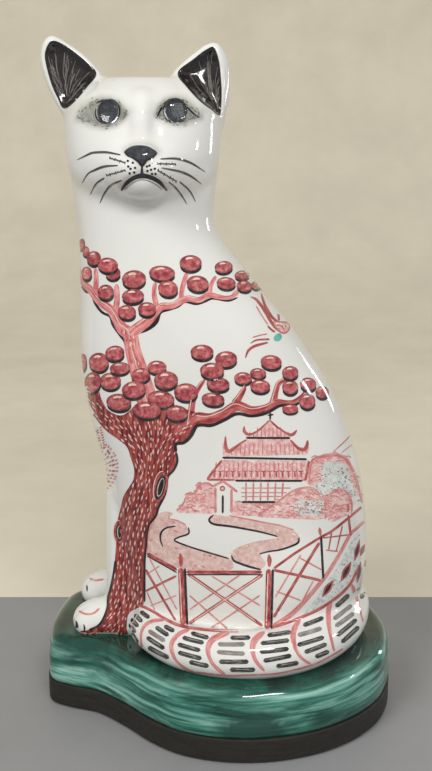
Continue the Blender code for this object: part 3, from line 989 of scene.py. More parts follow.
def resample(line, step, smooth=True, closed_line=False):
    p = np.array(line, float)
    if smooth and len(p) > 2:
        p = catmull(p, 8, closed_line)
    if closed_line:
        p = np.vstack([p, p[0]])
    cum = np.concatenate([[0], np.cumsum(np.linalg.norm(np.diff(p[:, :2], axis=0), axis=1))])
    n = max(2, int(math.ceil(cum[-1] / step)) + 1)
    t = np.linspace(0, cum[-1], n)
    out = np.column_stack([np.interp(t, cum, p[:, k]) for k in range(p.shape[1])])
    return out[:-1] if closed_line else out


def stroke(layer, line, width, lift=0.14, step=1.7, tone=1.0, taper=(0.5, 0.5), view=FRONT, smooth=True,
           tex=(0.55, 0.10), cols=None):
    """Brush stroke along a polyline; points may carry their own width as a third number."""
    p = np.array([tuple(q) if len(q) == 3 else (*q, width) for q in line], float)
    p = resample(p, step, smooth)
    xy, w = p[:, :2], p[:, 2].copy()
    tan = np.gradient(xy, axis=0)
    tan /= np.linalg.norm(tan, axis=1)[:, None] + 1e-9
    cum = np.concatenate([[0], np.cumsum(np.linalg.norm(np.diff(xy, axis=0), axis=1))])
    total = cum[-1]
    for end, dist in ((0, cum), (1, total - cum)):
        r = max(taper[end] * w.max(), 0.3)
        q = np.clip(dist / r, 0, 1)
        w *= np.sqrt(np.clip(1 - (1 - q) ** 2, 0.04, 1))
    nrm = np.stack([-tan[:, 1], tan[:, 0]], 1)
    cols = cols or max(1, int(round(w.max() / 2.6)))
    n, m = len(xy), cols + 1
    off = np.linspace(-0.5, 0.5, m)
    uv = (xy[:, None, :] + nrm[:, None, :] * (w[:, None] * off)[:, :, None]).reshape(-1, 2)
    seed = rng.random() * 90
    tx = np.stack([np.tile(off * w.mean() * tex[0], n) + seed, np.repeat(cum * tex[1], m) + seed * 1.7,
                   np.full(n * m, seed)], 1)
    tris = []
    for i in range(n - 1):
        for j in range(cols):
            a, b = i * m + j, (i + 1) * m + j
            tris += [(a, a + 1, b + 1), (a, b + 1, b)]
    layer.put(view, uv, tris, lift, tone, tx)


def disc(layer, cx, cy, rx, ry, ang=0.0, lift=0.2, tone=1.0, view=FRONT, rings=3, seg=22, tex=0.33, edge=1.0):
    a = np.linspace(0, 2 * np.pi, seg, endpoint=False)
    rr = np.linspace(0, 1, rings + 1)[1:]
    loc = [(0.0, 0.0)] + [(r * math.cos(t), r * math.sin(t)) for r in rr for t in a]
    loc = np.array(loc)
    ca, sa = math.cos(ang), math.sin(ang)
    x, y = loc[:, 0] * rx, loc[:, 1] * ry
    uv = np.stack([cx + x * ca - y * sa, cy + x * sa + y * ca], 1)
    tris = [(0, 1 + i, 1 + (i + 1) % seg) for i in range(seg)]
    for k in range(rings - 1):
        o, q = 1 + k * seg, 1 + (k + 1) * seg
        for i in range(seg):
            j = (i + 1) % seg
            tris += [(o + i, q + i, q + j), (o + i, q + j, o + j)]
    seed = rng.random() * 50
    tx = np.column_stack([x * tex + seed, y * tex + seed * 2, np.full(len(x), seed)])
    t = np.full(len(uv), float(tone))
    t[1 + (rings - 1) * seg:] *= edge
    layer.put(view, uv, tris, lift, t, tx)


def fill(layer, poly, lift=0.1, step=2.6, view=FRONT, smooth=True, tone=1.0, tex=(0.22, 0.22), holes=()):
    b = resample(poly, step, smooth, True)
    lo, hi = b.min(0), b.max(0)
    gx, gy = np.meshgrid(np.arange(lo[0], hi[0], step), np.arange(lo[1], hi[1], step * 0.87))
    gx = gx + (np.arange(gx.shape[0]) % 2)[:, None] * step / 2
    g = np.column_stack([gx.ravel(), gy.ravel()])
    g = g[inside(g, b)]
    if len(g):
        d, _ = seg_dist(g, list(b) + [b[0]])
        g = g[d > step * 0.55]
    for h in holes:
        if len(g):
            g = g[~inside(g, h)]
    pts = np.vstack([b, g]) if len(g) else b
    n = len(b)
    res = delaunay_2d_cdt([Vector(q) for q in pts], [(i, (i + 1) % n) for i in range(n)], [], 1, 1e-5)
    uv = np.array([v[:] for v in res[0]])
    tris = np.array([f for f in res[2] if len(f) == 3], int)
    if not len(tris):
        return
    mid = uv[tris].mean(1)
    keep = inside(mid, b)
    for h in holes:
        keep &= ~inside(mid, h)
    tris = tris[keep]
    seed = rng.random() * 50
    tx = np.column_stack([uv[:, 0] * tex[0] + seed, uv[:, 1] * tex[1] + seed, np.full(len(uv), seed)])
    layer.put(view, uv, tris, lift, tone, tx)


L = {}
L["berry"] = Layer("paint_berries", [(0.32, s(124, 42, 52)), (0.45, s(170, 76, 82)), (0.58, s(198, 112, 112)), (0.72, s(220, 158, 152))])
L["trunk"] = Layer("paint_trunk", [(0.33, s(74, 16, 20)), (0.45, s(128, 42, 42)), (0.58, s(164, 76, 70)), (0.74, s(202, 128, 114))])
L["branch"] = Layer("paint_branches", [(0.32, s(172, 74, 80)), (0.46, s(208, 120, 120)), (0.60, s(226, 158, 154)), (0.74, s(236, 196, 190))])
L["limb"] = Layer("paint_limbs", [(0.32, s(116, 34, 40)), (0.46, s(160, 64, 68)), (0.60, s(192, 104, 100)), (0.74, s(216, 150, 142))])
L["dark"] = Layer("paint_shadows", [(0.30, s(22, 22, 24)), (0.55, s(40, 40, 42)), (0.75, s(86, 86, 86))])
L["light"] = Layer("paint_highlights", [(0.30, s(214, 168, 154)), (0.55, s(232, 204, 192)), (0.75, s(240, 226, 218))])
L["line"] = Layer("paint_red_lines", [(0.30, s(140, 54, 56)), (0.50, s(176, 86, 84)), (0.72, s(206, 132, 126))])
L["pink"] = Layer("paint_pink_lines", [(0.30, s(186, 106, 108)), (0.50, s(208, 136, 134)), (0.72, s(226, 176, 170))])
L["wash"] = Layer("paint_washes", [(0.32, s(202, 162, 156)), (0.50, s(216, 184, 177)), (0.68, s(228, 204, 198))])
L["rose"] = Layer("paint_rose_washes", [(0.32, s(206, 132, 134)), (0.48, s(224, 178, 176)), (0.66, s(236, 216, 212))])
L["blue"] = Layer("paint_grey_foliage", [(0.32, s(182, 192, 190)), (0.50, s(210, 216, 213)), (0.70, s(229, 231, 227))])
L["ink"] = Layer("paint_ink", [(0.30, s(20, 20, 23)), (0.55, s(34, 35, 39)), (0.75, s(66, 68, 74))])
L["slate"] = Layer("paint_nose", [(0.30, s(40, 42, 48)), (0.55, s(58, 60, 68)), (0.75, s(82, 84, 92))])
L["tailmark"] = Layer("paint_tail_marks", [(0.32, s(24, 26, 30)), (0.46, s(50, 52, 54)), (0.58, s(92, 92, 88)), (0.72, s(160, 158, 150))])
L["hair"] = Layer("paint_fine_hairs", [(0.30, s(96, 92, 90)), (0.55, s(136, 132, 128)), (0.75, s(176, 172, 168))])
L["ear"] = Layer("paint_ear_black", [(0.30, s(22, 20, 22)), (0.55, s(34, 30, 31)), (0.75, s(62, 54, 52))])

UPPER = [(82, 245, 3, 6), (86, 252, 3.4, 5.4), (94, 259, 7, 7.5), (87, 274, 5, 7), (108, 266, 10, 8), (113, 274, 7.5, 7),
         (134, 280, 12, 9.5), (106, 293, 8, 8), (133, 297, 11, 7.5), (127, 313, 9, 7.5), (147, 310, 9, 7.5),
         (162, 274, 13, 8), (168, 289.5, 10, 8.5), (190.5, 264, 11, 8.5), (197.5, 284.5, 11, 8.5), (223.5, 268, 9, 6.5),
         (226, 284, 9.5, 6.5), (242, 276, 7.5, 5), (244, 287, 7.5, 6), (256, 286, 5, 4.5)]
LOWER = [(83, 363, 4, 9), (99, 363, 10, 10), (115, 354, 9.5, 8), (120, 369, 10, 6.5), (93, 383, 8, 11),
         (110.5, 382, 10.5, 9), (141, 376, 9.5, 7.5), (157, 368, 9.5, 7), (166, 381, 12, 9.5), (134, 390.5, 12, 9),
         (186, 393, 12, 9.5), (119, 403, 12.5, 9), (161, 400, 13.5, 9), (147, 411, 14, 9), (177, 414, 11, 8),
         (202, 353, 11.5, 8), (226, 360, 11, 8.5), (218, 385, 11.5, 7.5), (212, 371.5, 12, 8.5), (213, 400, 11.5, 7),
         (243, 379, 9, 6.5), (258, 374, 8, 5.5), (271, 363, 10.5, 7.5), (260, 387, 10, 7), (290, 373.5, 8, 7),
         (290, 388, 8, 7.5), (308, 385, 8, 7), (322, 393, 6.5, 6.5), (307, 402, 8, 8), (290, 409.5, 8, 5)]


def berry(cx, cy, rx, ry, k, view=FRONT, shade=True):
    lift = 0.20 + 0.035 * (k % 5)
    ang = math.radians(rng.uniform(-6, 8))
    drop = min(2.4, 0.28 * ry + 0.3)
    if shade:
        disc(L["dark"], cx + 0.3, cy + drop, rx * 0.97, ry * 0.88, ang, lift - 0.022, 1.0, view, rings=2, tex=0.12)
    yy, r2 = cy - 0.5 * drop + 0.2, ry * 0.93
    disc(L["berry"], cx, yy, rx, r2, ang, lift, rng.uniform(0.88, 1.06), view, rings=4, tex=0.19, edge=0.60)
    arc = []
    for a in np.linspace(math.radians(-132), math.radians(-62), 7):
        arc.append((cx + 0.60 * rx * math.cos(a) - 0.06 * rx, yy + 0.62 * r2 * math.sin(a), 0.26 * r2))
    if rx > 4:
        stroke(L["light"], arc, 1, lift + 0.012, 1.3, 1.06, (1.6, 1.6), view, tex=(0.2, 0.1), cols=1)


TRUNK_L = [(84.8, 393), (86.9, 406), (94.5, 416.7), (105.4, 429.7), (118.4, 439.5), (127, 447), (131, 458), (134.2, 469),
           (133.6, 479), (129.4, 486.6), (123.8, 495.8), (121, 507), (118.2, 518), (115.8, 532), (116, 546), (114.2, 568),
           (111.5, 584), (108, 597.4), (108, 607), (104.6, 617.5), (99, 625), (89, 629.8), (78, 631.5)]
TRUNK_B = [(86, 636), (98, 637.4), (111, 636.3), (127.4, 637.4)]
TRUNK_R = [(126.5, 627.4), (127.8, 616), (132, 610.6), (139.6, 607.2), (143.6, 603.8), (144, 588), (144, 574), (144.2, 560),
           (145.6, 546), (146.8, 532), (149, 523.8), (155.3, 515.4), (158, 507), (163.8, 495.8), (166, 487.4), (167.3, 476),
           (173.6, 469), (177, 460.7), (176.4, 452.3), (175.9, 443.2), (183.4, 441.5), (190.4, 435), (196, 425)]
CROWN = [(196, 413), (188, 410), (176, 405), (163, 408), (150, 404), (137, 404), (129.5, 411), (120.5, 415.5), (110, 411.5),
         (102.5, 404), (99.2, 396), (95, 394)]
FLOW = [[(86, 398), (98, 414), (114, 428), (132, 444), (144, 460)], [(200, 416), (186, 430), (168, 442), (158, 458)],
        [(146, 405), (150, 430), (152, 450), (150, 470), (144, 492), (134, 520), (131, 546), (130, 570), (127, 592),
         (121, 612), (106, 628), (88, 634)], [(131, 580), (133, 600), (124, 618), (119, 636)]]


def flow_dir(q):
    acc = np.zeros(2)
    for line in FLOW:
        p = np.array(line, float)
        for a, b in zip(p, p[1:]):
            t = np.clip(((q - a) @ (b - a)) / ((b - a) @ (b - a)), 0, 1)
            d = np.linalg.norm(q - a - t * (b - a))
            acc += (b - a) / np.linalg.norm(b - a) / (d * d + 12)
    return acc / (np.linalg.norm(acc) + 1e-9)


def tree(view):
    # upper spray: outlines below, pink limbs above
    up_left = [(76.5, 262, 3), (80.4, 273, 3.6), (84, 283.5, 5), (90, 289, 6), (96, 297, 6.5), (103, 304, 7), (111, 310, 7.5),
               (117, 319, 8.5), (122, 328, 10), (130, 335, 12), (133, 350, 13), (138, 368, 15), (145, 392, 17), (150, 410, 19)]
    up_right = [(129, 335, 10), (138, 328, 9), (149, 319.5, 8), (156, 311.5, 6.5), (162, 306.5, 6), (172, 305.5, 5.2),
                (181, 301, 5.4), (189, 298.5, 5), (199, 300, 4.8), (209, 295, 4.4), (219, 297, 3.8), (229, 297.5, 3.2),
                (239, 293, 2.6)]
    stems = [[(95, 294, 5), (96.3, 281, 4), (95.6, 268, 3)], [(115.5, 314, 5.5), (117, 299, 4.6), (116.5, 284, 3.6)],
             [(157, 309, 4.6), (154.2, 294, 4), (155.2, 282, 3.4)], [(181, 301, 4.6), (182.3, 288, 4), (186, 276, 3.6), (189, 270, 3)],
             [(209, 296, 4), (211, 285, 3.4), (216, 276, 3)], [(232, 296, 3), (238, 290, 2.6), (242, 284, 2.2)]]
    for line in ([(76.5, 268, 1.8), (79.6, 281, 2.2), (86, 291.5, 2.6), (91, 293, 2.2), (96, 304.5, 2.6), (102.5, 312.5, 2.6),
                  (110, 316.5, 2.4), (113, 325, 2.4), (120, 335, 2.6), (125, 342, 2.6), (126.2, 352, 2)],
                 [(137.5, 333.6, 1.8), (148, 329, 3.4), (156, 322, 4.4), (160.4, 312.5, 3), (169, 309.8, 2.2), (178, 306.6, 2.4),
                  (185, 302, 2.2), (196, 304, 2.4), (205, 301.4, 2.4), (213, 298.6, 2), (228, 300.8, 2), (238, 297.4, 1.6)]):
        stroke(L["dark"], line, 2, 0.10, 1.8, 1.0, (1.0, 1.0), view, tex=(0.2, 0.05))
    up_left = [(x, y, w * 1.18) for x, y, w in up_left]
    up_right = [(x, y, w * 1.25) for x, y, w in up_right]
    for line in stems:
        line = [(x, y, w * 1.2) for x, y, w in line]
        stroke(L["branch"], line, 3, 0.125, 1.8, 1.0, (0.4, 0.6), view, tex=(0.5, 0.09))
    stroke(L["branch"], up_left, 6, 0.14, 2.0, 1.0, (1.2, 0.3), view, tex=(0.5, 0.07))
    stroke(L["branch"], up_right, 6, 0.15, 2.0, 1.0, (0.4, 1.0), view, tex=(0.5, 0.07))
    for line in (up_left[4:], up_right[:9]):
        stroke(L["light"], [(x - 0.12 * w, y - 0.28 * w) for x, y, w in line], 0.9, 0.17, 1.8, 1.0, (2, 2), view, tex=(0.2, 0.3), cols=1)
    for k in range(26):
        t = rng.random()
        i = 8 + int(t * 4)
        x, y, w = up_left[i]
        x2, y2, _ = up_left[min(i + 1, len(up_left) - 1)]
        f = rng.random()
        px, py = x + (x2 - x) * f + rng.uniform(-0.35, 0.35) * w, y + (y2 - y) * f
        stroke(L["limb" if k % 2 else "light"], [(px, py), (px + 0.7, py + 3.6)], 1.0, 0.172, 1.6, 1.0, (1, 1), view, cols=1)
    # lower canopy limbs
    main = [(176, 432, 16), (188, 424, 14), (198, 418, 11.5), (210, 418.5, 10.5), (224, 413.5, 10.5), (237, 406, 10),
            (252, 410.4, 8.6), (266, 408, 7.6), (276, 402.5, 7), (286, 402.6, 4.8), (294, 401.6, 4.4), (301, 396.5, 3.8), (305, 390.5, 3)]
    sub = [[(189, 428, 9), (191, 412, 7), (193, 400, 6), (198.5, 388, 4.8), (205, 379, 3.8)],
           [(234, 405, 8.5), (240.5, 395, 6), (245.5, 386, 4.4)], [(273, 404, 8), (275.6, 392, 5.6), (279, 383, 5), (288, 378, 4)],
           [(105, 412, 6), (99.4, 400, 4.6), (97, 390, 3.6)]]
    under = [(176.2, 452), (177.4, 461, 2.2), (174, 469.6, 2.2), (167.9, 476.8, 2.2), (166.6, 487.5, 2.2), (164.4, 496, 2.2),
             (158.6, 507.4, 2.2), (155.9, 515.8, 2.2), (149.6, 524.2, 2.2), (147.4, 532.4, 2.2), (146.2, 546, 2.0), (144.8, 560, 2.0),
             (144.6, 574, 2.0), (144.6, 588, 2.0), (144.6, 602, 1.8)]
    edge = [(176.2, 452, 2.2), (176, 444, 2.2), (184, 442.2, 2.6), (191, 435.6, 2.8), (196.2, 426, 2.8), (202, 424.6, 2.6), (211.6, 425, 2.6),
            (224.4, 419.6, 2.6), (237, 413.4, 2.6), (251.6, 415.6, 2.4), (266.6, 412.6, 2.4), (280.2, 405.4, 2.2), (293.8, 405, 2), (300.6, 401.4, 1.6)]
    edge = [(q[0], q[1] + 0.3, q[2] * 1.25) for q in edge]
    for line in (edge, under, [(108, 597.4), (107.4, 607), (103.6, 617.8), (98, 625.6), (88.6, 630)],
                 [(115.6, 560), (113.6, 574), (110.6, 588), (107.6, 599)]):
        stroke(L["dark"], line, 2.0, 0.19, 1.8, 0.8, (1, 1), view, tex=(0.2, 0.05))
    for line in sub:
        stroke(L["limb"], line, 4, 0.135, 1.8, 1.0, (0.3, 0.6), view, tex=(0.45, 0.07))
    fill(L["trunk"], TRUNK_L + TRUNK_B + TRUNK_R + CROWN, 0.15, 2.4, view, True, 1.0, (0.42, 0.065))
    stroke(L["limb"], main, 6, 0.165, 2.0, 1.0, (0.3, 1.0), view, tex=(0.42, 0.07))
    for line in (main[2:9], sub[0], sub[1], sub[2]):
        stroke(L["light"], [(x - 0.22 * w, y - 0.22 * w) for x, y, w in line], 0.9, 0.19, 1.8, 0.95, (2, 2), view, cols=1)
    outline = closed(TRUNK_L + TRUNK_B + TRUNK_R + CROWN)
    region = np.array(outline)
    for gy in np.arange(402, 637, 6.4):
        for gx in np.arange(84, 200, 4.7):
            q = np.array([gx + rng.uniform(-1.5, 1.5) + (2.3 if int(gy / 6.4) % 2 else 0), gy + rng.uniform(-2, 2)])
            if not inside(q[None], region)[0]:
                continue
            d, _ = seg_dist(q[None], outline)
            if d[0] < 1.8 or any(((q[0] - x) / (rx + 1.5)) ** 2 + ((q[1] - y) / (ry + 2)) ** 2 < 1 for x, y, rx, ry in LOWER):
                continue
            if math.hypot((q[0] - 160.5) / 1.1, (q[1] - 487) / 2) < 8.5 or math.hypot(q[0] - 119.5, (q[1] - 532) / 2) < 6:
                continue
            v = flow_dir(q)
            h = rng.uniform(1.5, 3.1)
            stroke(L["light"], [tuple(q - v * h), tuple(q + v * h)], rng.uniform(0.9, 1.45), 0.205, 2.2, rng.uniform(0.86, 1.0), (1, 1), view,
                   cols=1, tex=(0.3, 0.2))
    for gx in np.arange(90, 190, 5.2):
        for k in range(3):
            q = np.array([gx + rng.uniform(-2, 2), rng.uniform(440, 630)])
            if inside(q[None], region)[0]:
                v = flow_dir(q)
                stroke(L["dark"], [tuple(q - v * 5), tuple(q + v * 5)], 0.9, 0.185, 2.2, 1.6, (3, 3), view, cols=1)
    # two knot holes
    for cx, cy, w, h, a in ((160.5, 487, 4.6, 13, 0.25), (119.5, 532, 3.6, 9, -0.02)):
        disc(L["limb"], cx, cy, w + 2.2, h + 2.4, a, 0.215, 1.0, view, 2)
        disc(L["dark"], cx, cy, w, h, a, 0.23, 1.3, view, 2)
        disc(L["light"], cx + 0.2, cy + 0.2, w * 0.66, h * 0.74, a, 0.245, 0.75, view, 2)
        disc(L["dark"], cx + 0.5, cy, w * 0.5, h * 0.66, a, 0.26, 0.6, view, 2)
        arc = [(cx + (w + 2.4) * math.cos(t + a), cy + (h + 2.8) * math.sin(t)) for t in np.linspace(2.2, 4.9, 9)]
        stroke(L["light"], arc, 0.9, 0.262, 1.8, 0.95, (2, 2), view, cols=1)
    for k, b in enumerate(UPPER + LOWER):
        berry(*b, k, view)


def many(layer, lines, width, lift=0.14, view=FRONT, **kw):
    for q in lines:
        stroke(L[layer], q, width, lift, view=view, **kw)


def pagoda(view):
    fill(L["rose"], [(244.4, 427), (244.6, 432), (249, 434.2), (257, 431), (264.3, 425), (269.6, 420.7), (276.5, 426.8), (285.7, 432.9),
                     (291.8, 434), (296, 430.4), (292, 436), (289.5, 437.5), (245.9, 437.5)], 0.10, 2.4, view, False)
    fill(L["rose"], [(241.3, 443), (246, 439), (290.3, 439), (298, 447.5), (304, 449), (307.1, 441.3), (309.4, 447.5), (307, 454.3),
                     (265, 455.6), (223, 456.6), (222.6, 444.4), (225.3, 437.5), (227.6, 451), (233.7, 447.5)], 0.10, 2.6, view, False)
    fill(L["rose"], [(222, 459.7), (265, 460.3), (308.7, 460.5), (305.6, 481), (235, 479.4), (206.9, 479.6)], 0.10, 2.8, view, False)
    many("line", [[(244.4, 426, 1), (244.2, 431, 3.2), (249, 434.6, 2.6), (257, 431.4, 1.8), (264.5, 425, 1.8), (269.6, 420, 1.6)],
                  [(269.6, 420, 1.6), (276.5, 426.4, 2), (285.7, 432.6, 2), (292, 434.8, 3.2), (297, 430, 1.6)],
                  [(225.4, 436, 1.4), (225.6, 446, 3.4), (228.4, 451.4, 3.6), (234, 448, 2.8), (241.3, 443, 2.2), (247, 439.4, 1.6)],
                  [(290, 439.6, 1.6), (294, 444, 2.4), (298.4, 448.2, 3.2), (304, 449.6, 3.8), (307, 445, 3.2), (307.4, 440, 1.4)],
                  [(222, 460, 2), (214, 470, 2.2), (206.9, 479.6, 2.4)], [(308.7, 460.8, 2), (307.4, 470, 2.2), (305, 481, 2.2)],
                  [(207, 479.6, 2), (235, 479.8, 2)]], 2, 0.15, view, smooth=True)
    for a, b, c, d, n in ((248, 290, 427, 437, 11), (230, 304, 443.5, 455, 17), (214, 303, 462, 478.6, 20)):
        for k in range(n):
            x = a + (b - a) * (k + 0.5) / n
            top = c + (4.5 if (n == 11 and abs(x - 269) > 12) else 0) + (3.4 if (n == 17 and not 240 < x < 296) else 0)
            stroke(L["pink"], [(x, top), (x + (x - 265) * 0.03, d)], 1.3, 0.125, view=view, cols=1, taper=(1, 0.6))
    for k in range(15):
        x = 214 + k * 6.2
        stroke(L["line"], [(x, 471.6), (x + 0.4, 477.4)], 1.8, 0.14, view=view, cols=1)
        stroke(L["line"], [(x - 3, 470.4), (x, 471.8), (x + 3, 470.4)], 1.0, 0.15, view=view, cols=1)
    for k in range(6):
        x = 246 + 7.4 * k
        stroke(L["pink"], [(x, 482), (x - 0.2 * k, 501 - (k > 4) * 4)], 1.7, 0.13, view=view, cols=1)
    for y, x1 in ((488, 291), (492.6, 287), (496.4, 282)):
        stroke(L["pink"], [(241, y), (x1, y)], 1.1, 0.13, view=view, cols=1)
    many("dark", [[(270.4, 412.6), (270, 420)], [(267.6, 415.4), (273.6, 414.4)]], 1.7, 0.16, view, cols=1)
    many("dark", [[(245.9, 437.8), (290.3, 438)], [(222.2, 457.6), (265, 458.4), (307.1, 459.2)], [(235, 480.6), (302.6, 480.8)],
                  [(241.3, 502), (275.6, 502)], [(222.8, 495), (222.7, 513.4)]], 2.1, 0.16, view, cols=1, smooth=False)
    many("pink", [[(213, 486), (223, 481), (237.5, 492)], [(215.4, 487), (215.6, 513)], [(231.4, 489), (231.6, 513)]], 2.4, 0.15, view, smooth=False)
    disc(L["line"], 222.4, 488.4, 2.7, 2.7, 0, 0.16, 1, view, 1, 12)
    disc(L["light"], 222.4, 488.4, 1.4, 1.4, 0, 0.175, 1, view, 1, 10)


def foliage(view):
    left = [(177, 511.6), (180, 506), (184, 502), (186.3, 496.3), (190, 493), (195.5, 492.6), (197.6, 486), (203, 483), (208, 483),
            (213.6, 487), (214.4, 500), (214.6, 512.8), (198, 513.2), (183.3, 512.9)]
    fill(L["rose"], left, 0.09, 2.6, view)
    strip = [(231.8, 500.4), (243, 502.6), (275, 503), (268, 509), (256, 515.4), (243, 515.6), (231.8, 514)]
    fill(L["rose"], strip, 0.085, 2.8, view)
    hedge = [(256.6, 516.3), (266, 509), (276.5, 502.5), (285, 496), (293.4, 490.3), (302, 487), (310.2, 487.2), (317, 492), (325, 497),
             (329, 506), (329, 516), (318, 519.4), (300, 519), (280, 518)]
    fill(L["rose"], hedge, 0.092, 3.0, view)
    grey1 = [(294, 503), (304, 500), (316, 500.6), (326, 503), (327.4, 513), (312, 515.4), (296, 513.6)]
    fill(L["blue"], grey1, 0.12, 2.8, view)
    grey2 = [(313.3, 487.6), (315, 484), (322.5, 481), (321, 472), (322.5, 464.6), (330, 462), (337.8, 462.2), (347, 465.8), (350, 476.5),
             (354.4, 488), (357.4, 498), (353.4, 505), (346, 496), (337.8, 489.4), (331, 493), (325.5, 498), (318, 494)]
    fill(L["blue"], grey2, 0.10, 3.0, view)
    band = [(306.5, 482), (307, 470), (311.5, 460), (321, 454.6), (336, 452.6), (348, 458), (356, 473), (361, 491), (363, 505), (358, 501), (354, 487),
            (350, 476.5), (346.4, 466.4), (338, 462), (330, 461.6), (322.5, 464), (320.4, 472), (322, 481), (314, 486)]
    fill(L["rose"], band, 0.095, 2.6, view)
    many("pink", [[(333, 452, 0.8), (345, 441, 1.2), (353, 432.6, 0.8)], [(341, 453, 0.7), (350, 446, 1.1), (357, 441, 0.7)]], 1.2, 0.12, view, cols=1)
    bush = [(325.5, 503), (328, 497), (331.6, 493.4), (337, 490.4), (343, 490.6), (348, 495), (351, 501), (351.4, 512), (341, 518), (331, 521.6), (327, 512)]
    fill(L["rose"], bush, 0.12, 2.8, view)
    many("pink", [[(309.6, 485, 1.6), (309.4, 474, 2), (310.4, 465.8, 2.4), (313.3, 459.7, 2.6), (322.5, 456.4, 3), (334.7, 455, 3.2), (342, 457, 3), (348, 462, 3),
                   (353.5, 473.5, 2.8), (359.2, 490.3, 2.4), (362, 503, 1.6)],
                  [(325.4, 519, 1.6), (325, 505, 2), (328, 497, 2.2), (332, 492.6, 2.4), (338, 489.4, 2.4), (344, 490.4, 2.4), (349, 495.4, 2.2), (351.6, 503, 2), (351.4, 513, 1.6)]],
         2, 0.15, view)
    for poly, n in ((left, 34), (hedge, 56), (strip, 18), (bush, 26), (band, 60)):
        p = np.array(poly)
        lo, hi = p.min(0), p.max(0)
        for _ in range(n * 3):
            q = lo + (hi - lo) * rng.random(2)
            if not inside(q[None], p)[0]:
                continue
            r = rng.uniform(2.0, 3.4)
            arc = [(q[0] + r * math.cos(t), q[1] + r * math.sin(t) * 0.85) for t in np.linspace(3.4, 6.0, 5)]
            stroke(L["pink" if rng.random() < 0.7 else "light"], arc, rng.uniform(0.9, 1.5), 0.135, 1.8, 1.0, (1, 1), view, cols=1)
    for poly, n in ((grey1, 80), (grey2, 170)):
        p = np.array(poly)
        lo, hi = p.min(0), p.max(0)
        for k in range(n):
            q = lo + (hi - lo) * rng.random(2)
            if inside(q[None], p)[0]:
                disc(L[("light", "pink", "hair", "hair")[k % 4]], q[0], q[1], rng.uniform(0.5, 0.95), rng.uniform(0.5, 0.9), 0, 0.15, 1, view, 1, 7)
    # hedge tops picked out in stronger pink
    many("pink", [[(177, 511, 1.4), (184, 502.4, 2), (187, 496, 2), (195.5, 493, 2), (198, 486, 2), (207, 483, 2), (214, 487, 1.6)],
                  [(258, 515, 1.4), (276.5, 502.6, 1.8), (293.4, 490.6, 2), (310, 487.4, 2), (320, 494, 1.6)]], 2, 0.15, view)


def paths(view):
    right = [(212, 514.8), (229, 516.5), (246, 519.5), (261.2, 522.5), (274, 524.6), (285.7, 527.4), (294, 531), (298.6, 536), (297.6, 541.6), (290, 546),
             (279.6, 549.4), (268, 551), (260.5, 554), (262, 558), (265.6, 562), (264, 566.6), (259, 569.6), (246, 566.4), (234, 560), (231.4, 554),
             (236.7, 548), (252, 542.4), (266, 539.8), (279, 537.2), (272, 534), (261.2, 531.6), (246, 528.4), (230.6, 525.5), (214, 523), (209, 520)]
    fill(L["wash"], right, 0.09, 3.0, view)
    left = [(158.8, 513.7), (166, 511.4), (173.4, 513.7), (169, 518.4), (177, 520.8), (184, 523.6), (188, 529), (185.6, 534.6), (177, 537), (175.4, 540.4),
            (183, 543.6), (191.4, 546.3), (202, 549.4), (211.8, 552.4), (222, 555), (228.6, 558), (232.6, 562.4), (231.4, 569.4), (212, 570.6), (191.4, 570.8),
            (177, 567.4), (161, 560.6), (146.8, 552.2), (147, 541.2), (149.6, 529.4), (154.6, 519)]
    fill(L["wash"], left, 0.09, 3.0, view)
    many("dark", [[(214, 514.6, 1.2), (209, 519.6, 2), (213.8, 524, 2.2), (230, 526.2, 2.2), (246, 529, 2), (262, 532.2, 1.8), (278, 536.6, 1.2)],
                  [(299, 537, 1.2), (298, 542.6, 2), (290, 546.6, 2), (279.6, 549.8, 1.8), (268, 551.6, 1.6), (259, 554, 1.2)],
                  [(231.4, 555, 1.4), (233.6, 560.4, 2.2), (240, 563.4, 2.2), (250, 566.8, 2.2), (261.2, 569.6, 1.6)],
                  [(163, 547, 1), (160.6, 540, 1.6), (161, 533, 2), (166, 528, 1.8), (176, 526, 1.2)],
                  [(188.4, 527, 1.2), (188.4, 533.6, 1.8), (178, 537.4, 1.6), (175, 540.8, 1.6), (191.4, 547.3, 1.6), (212, 553.6, 1.6), (229, 558.6, 1.4)]],
         2, 0.14, view)
    many("pink", [[(170, 515, 1), (168.6, 518.6, 1.6), (177, 520.6, 1.6), (186, 525, 1.6)], [(229, 515.6), (246, 518.8), (262, 522), (280, 525.4), (294, 530)],
                  [(154.6, 519.6), (150, 529.6), (147.6, 541), (147.4, 552)]], 1.5, 0.14, view)
    for _ in range(90):
        poly = np.array(left if rng.random() < 0.6 else right)
        lo, hi = poly.min(0), poly.max(0)
        q = lo + (hi - lo) * rng.random(2)
        if inside(q[None], poly)[0]:
            disc(L["light" if rng.random() < 0.6 else "pink"], q[0], q[1], rng.uniform(1, 3.2), rng.uniform(0.7, 1.4), 0.35, 0.115, 1, view, 1, 10)


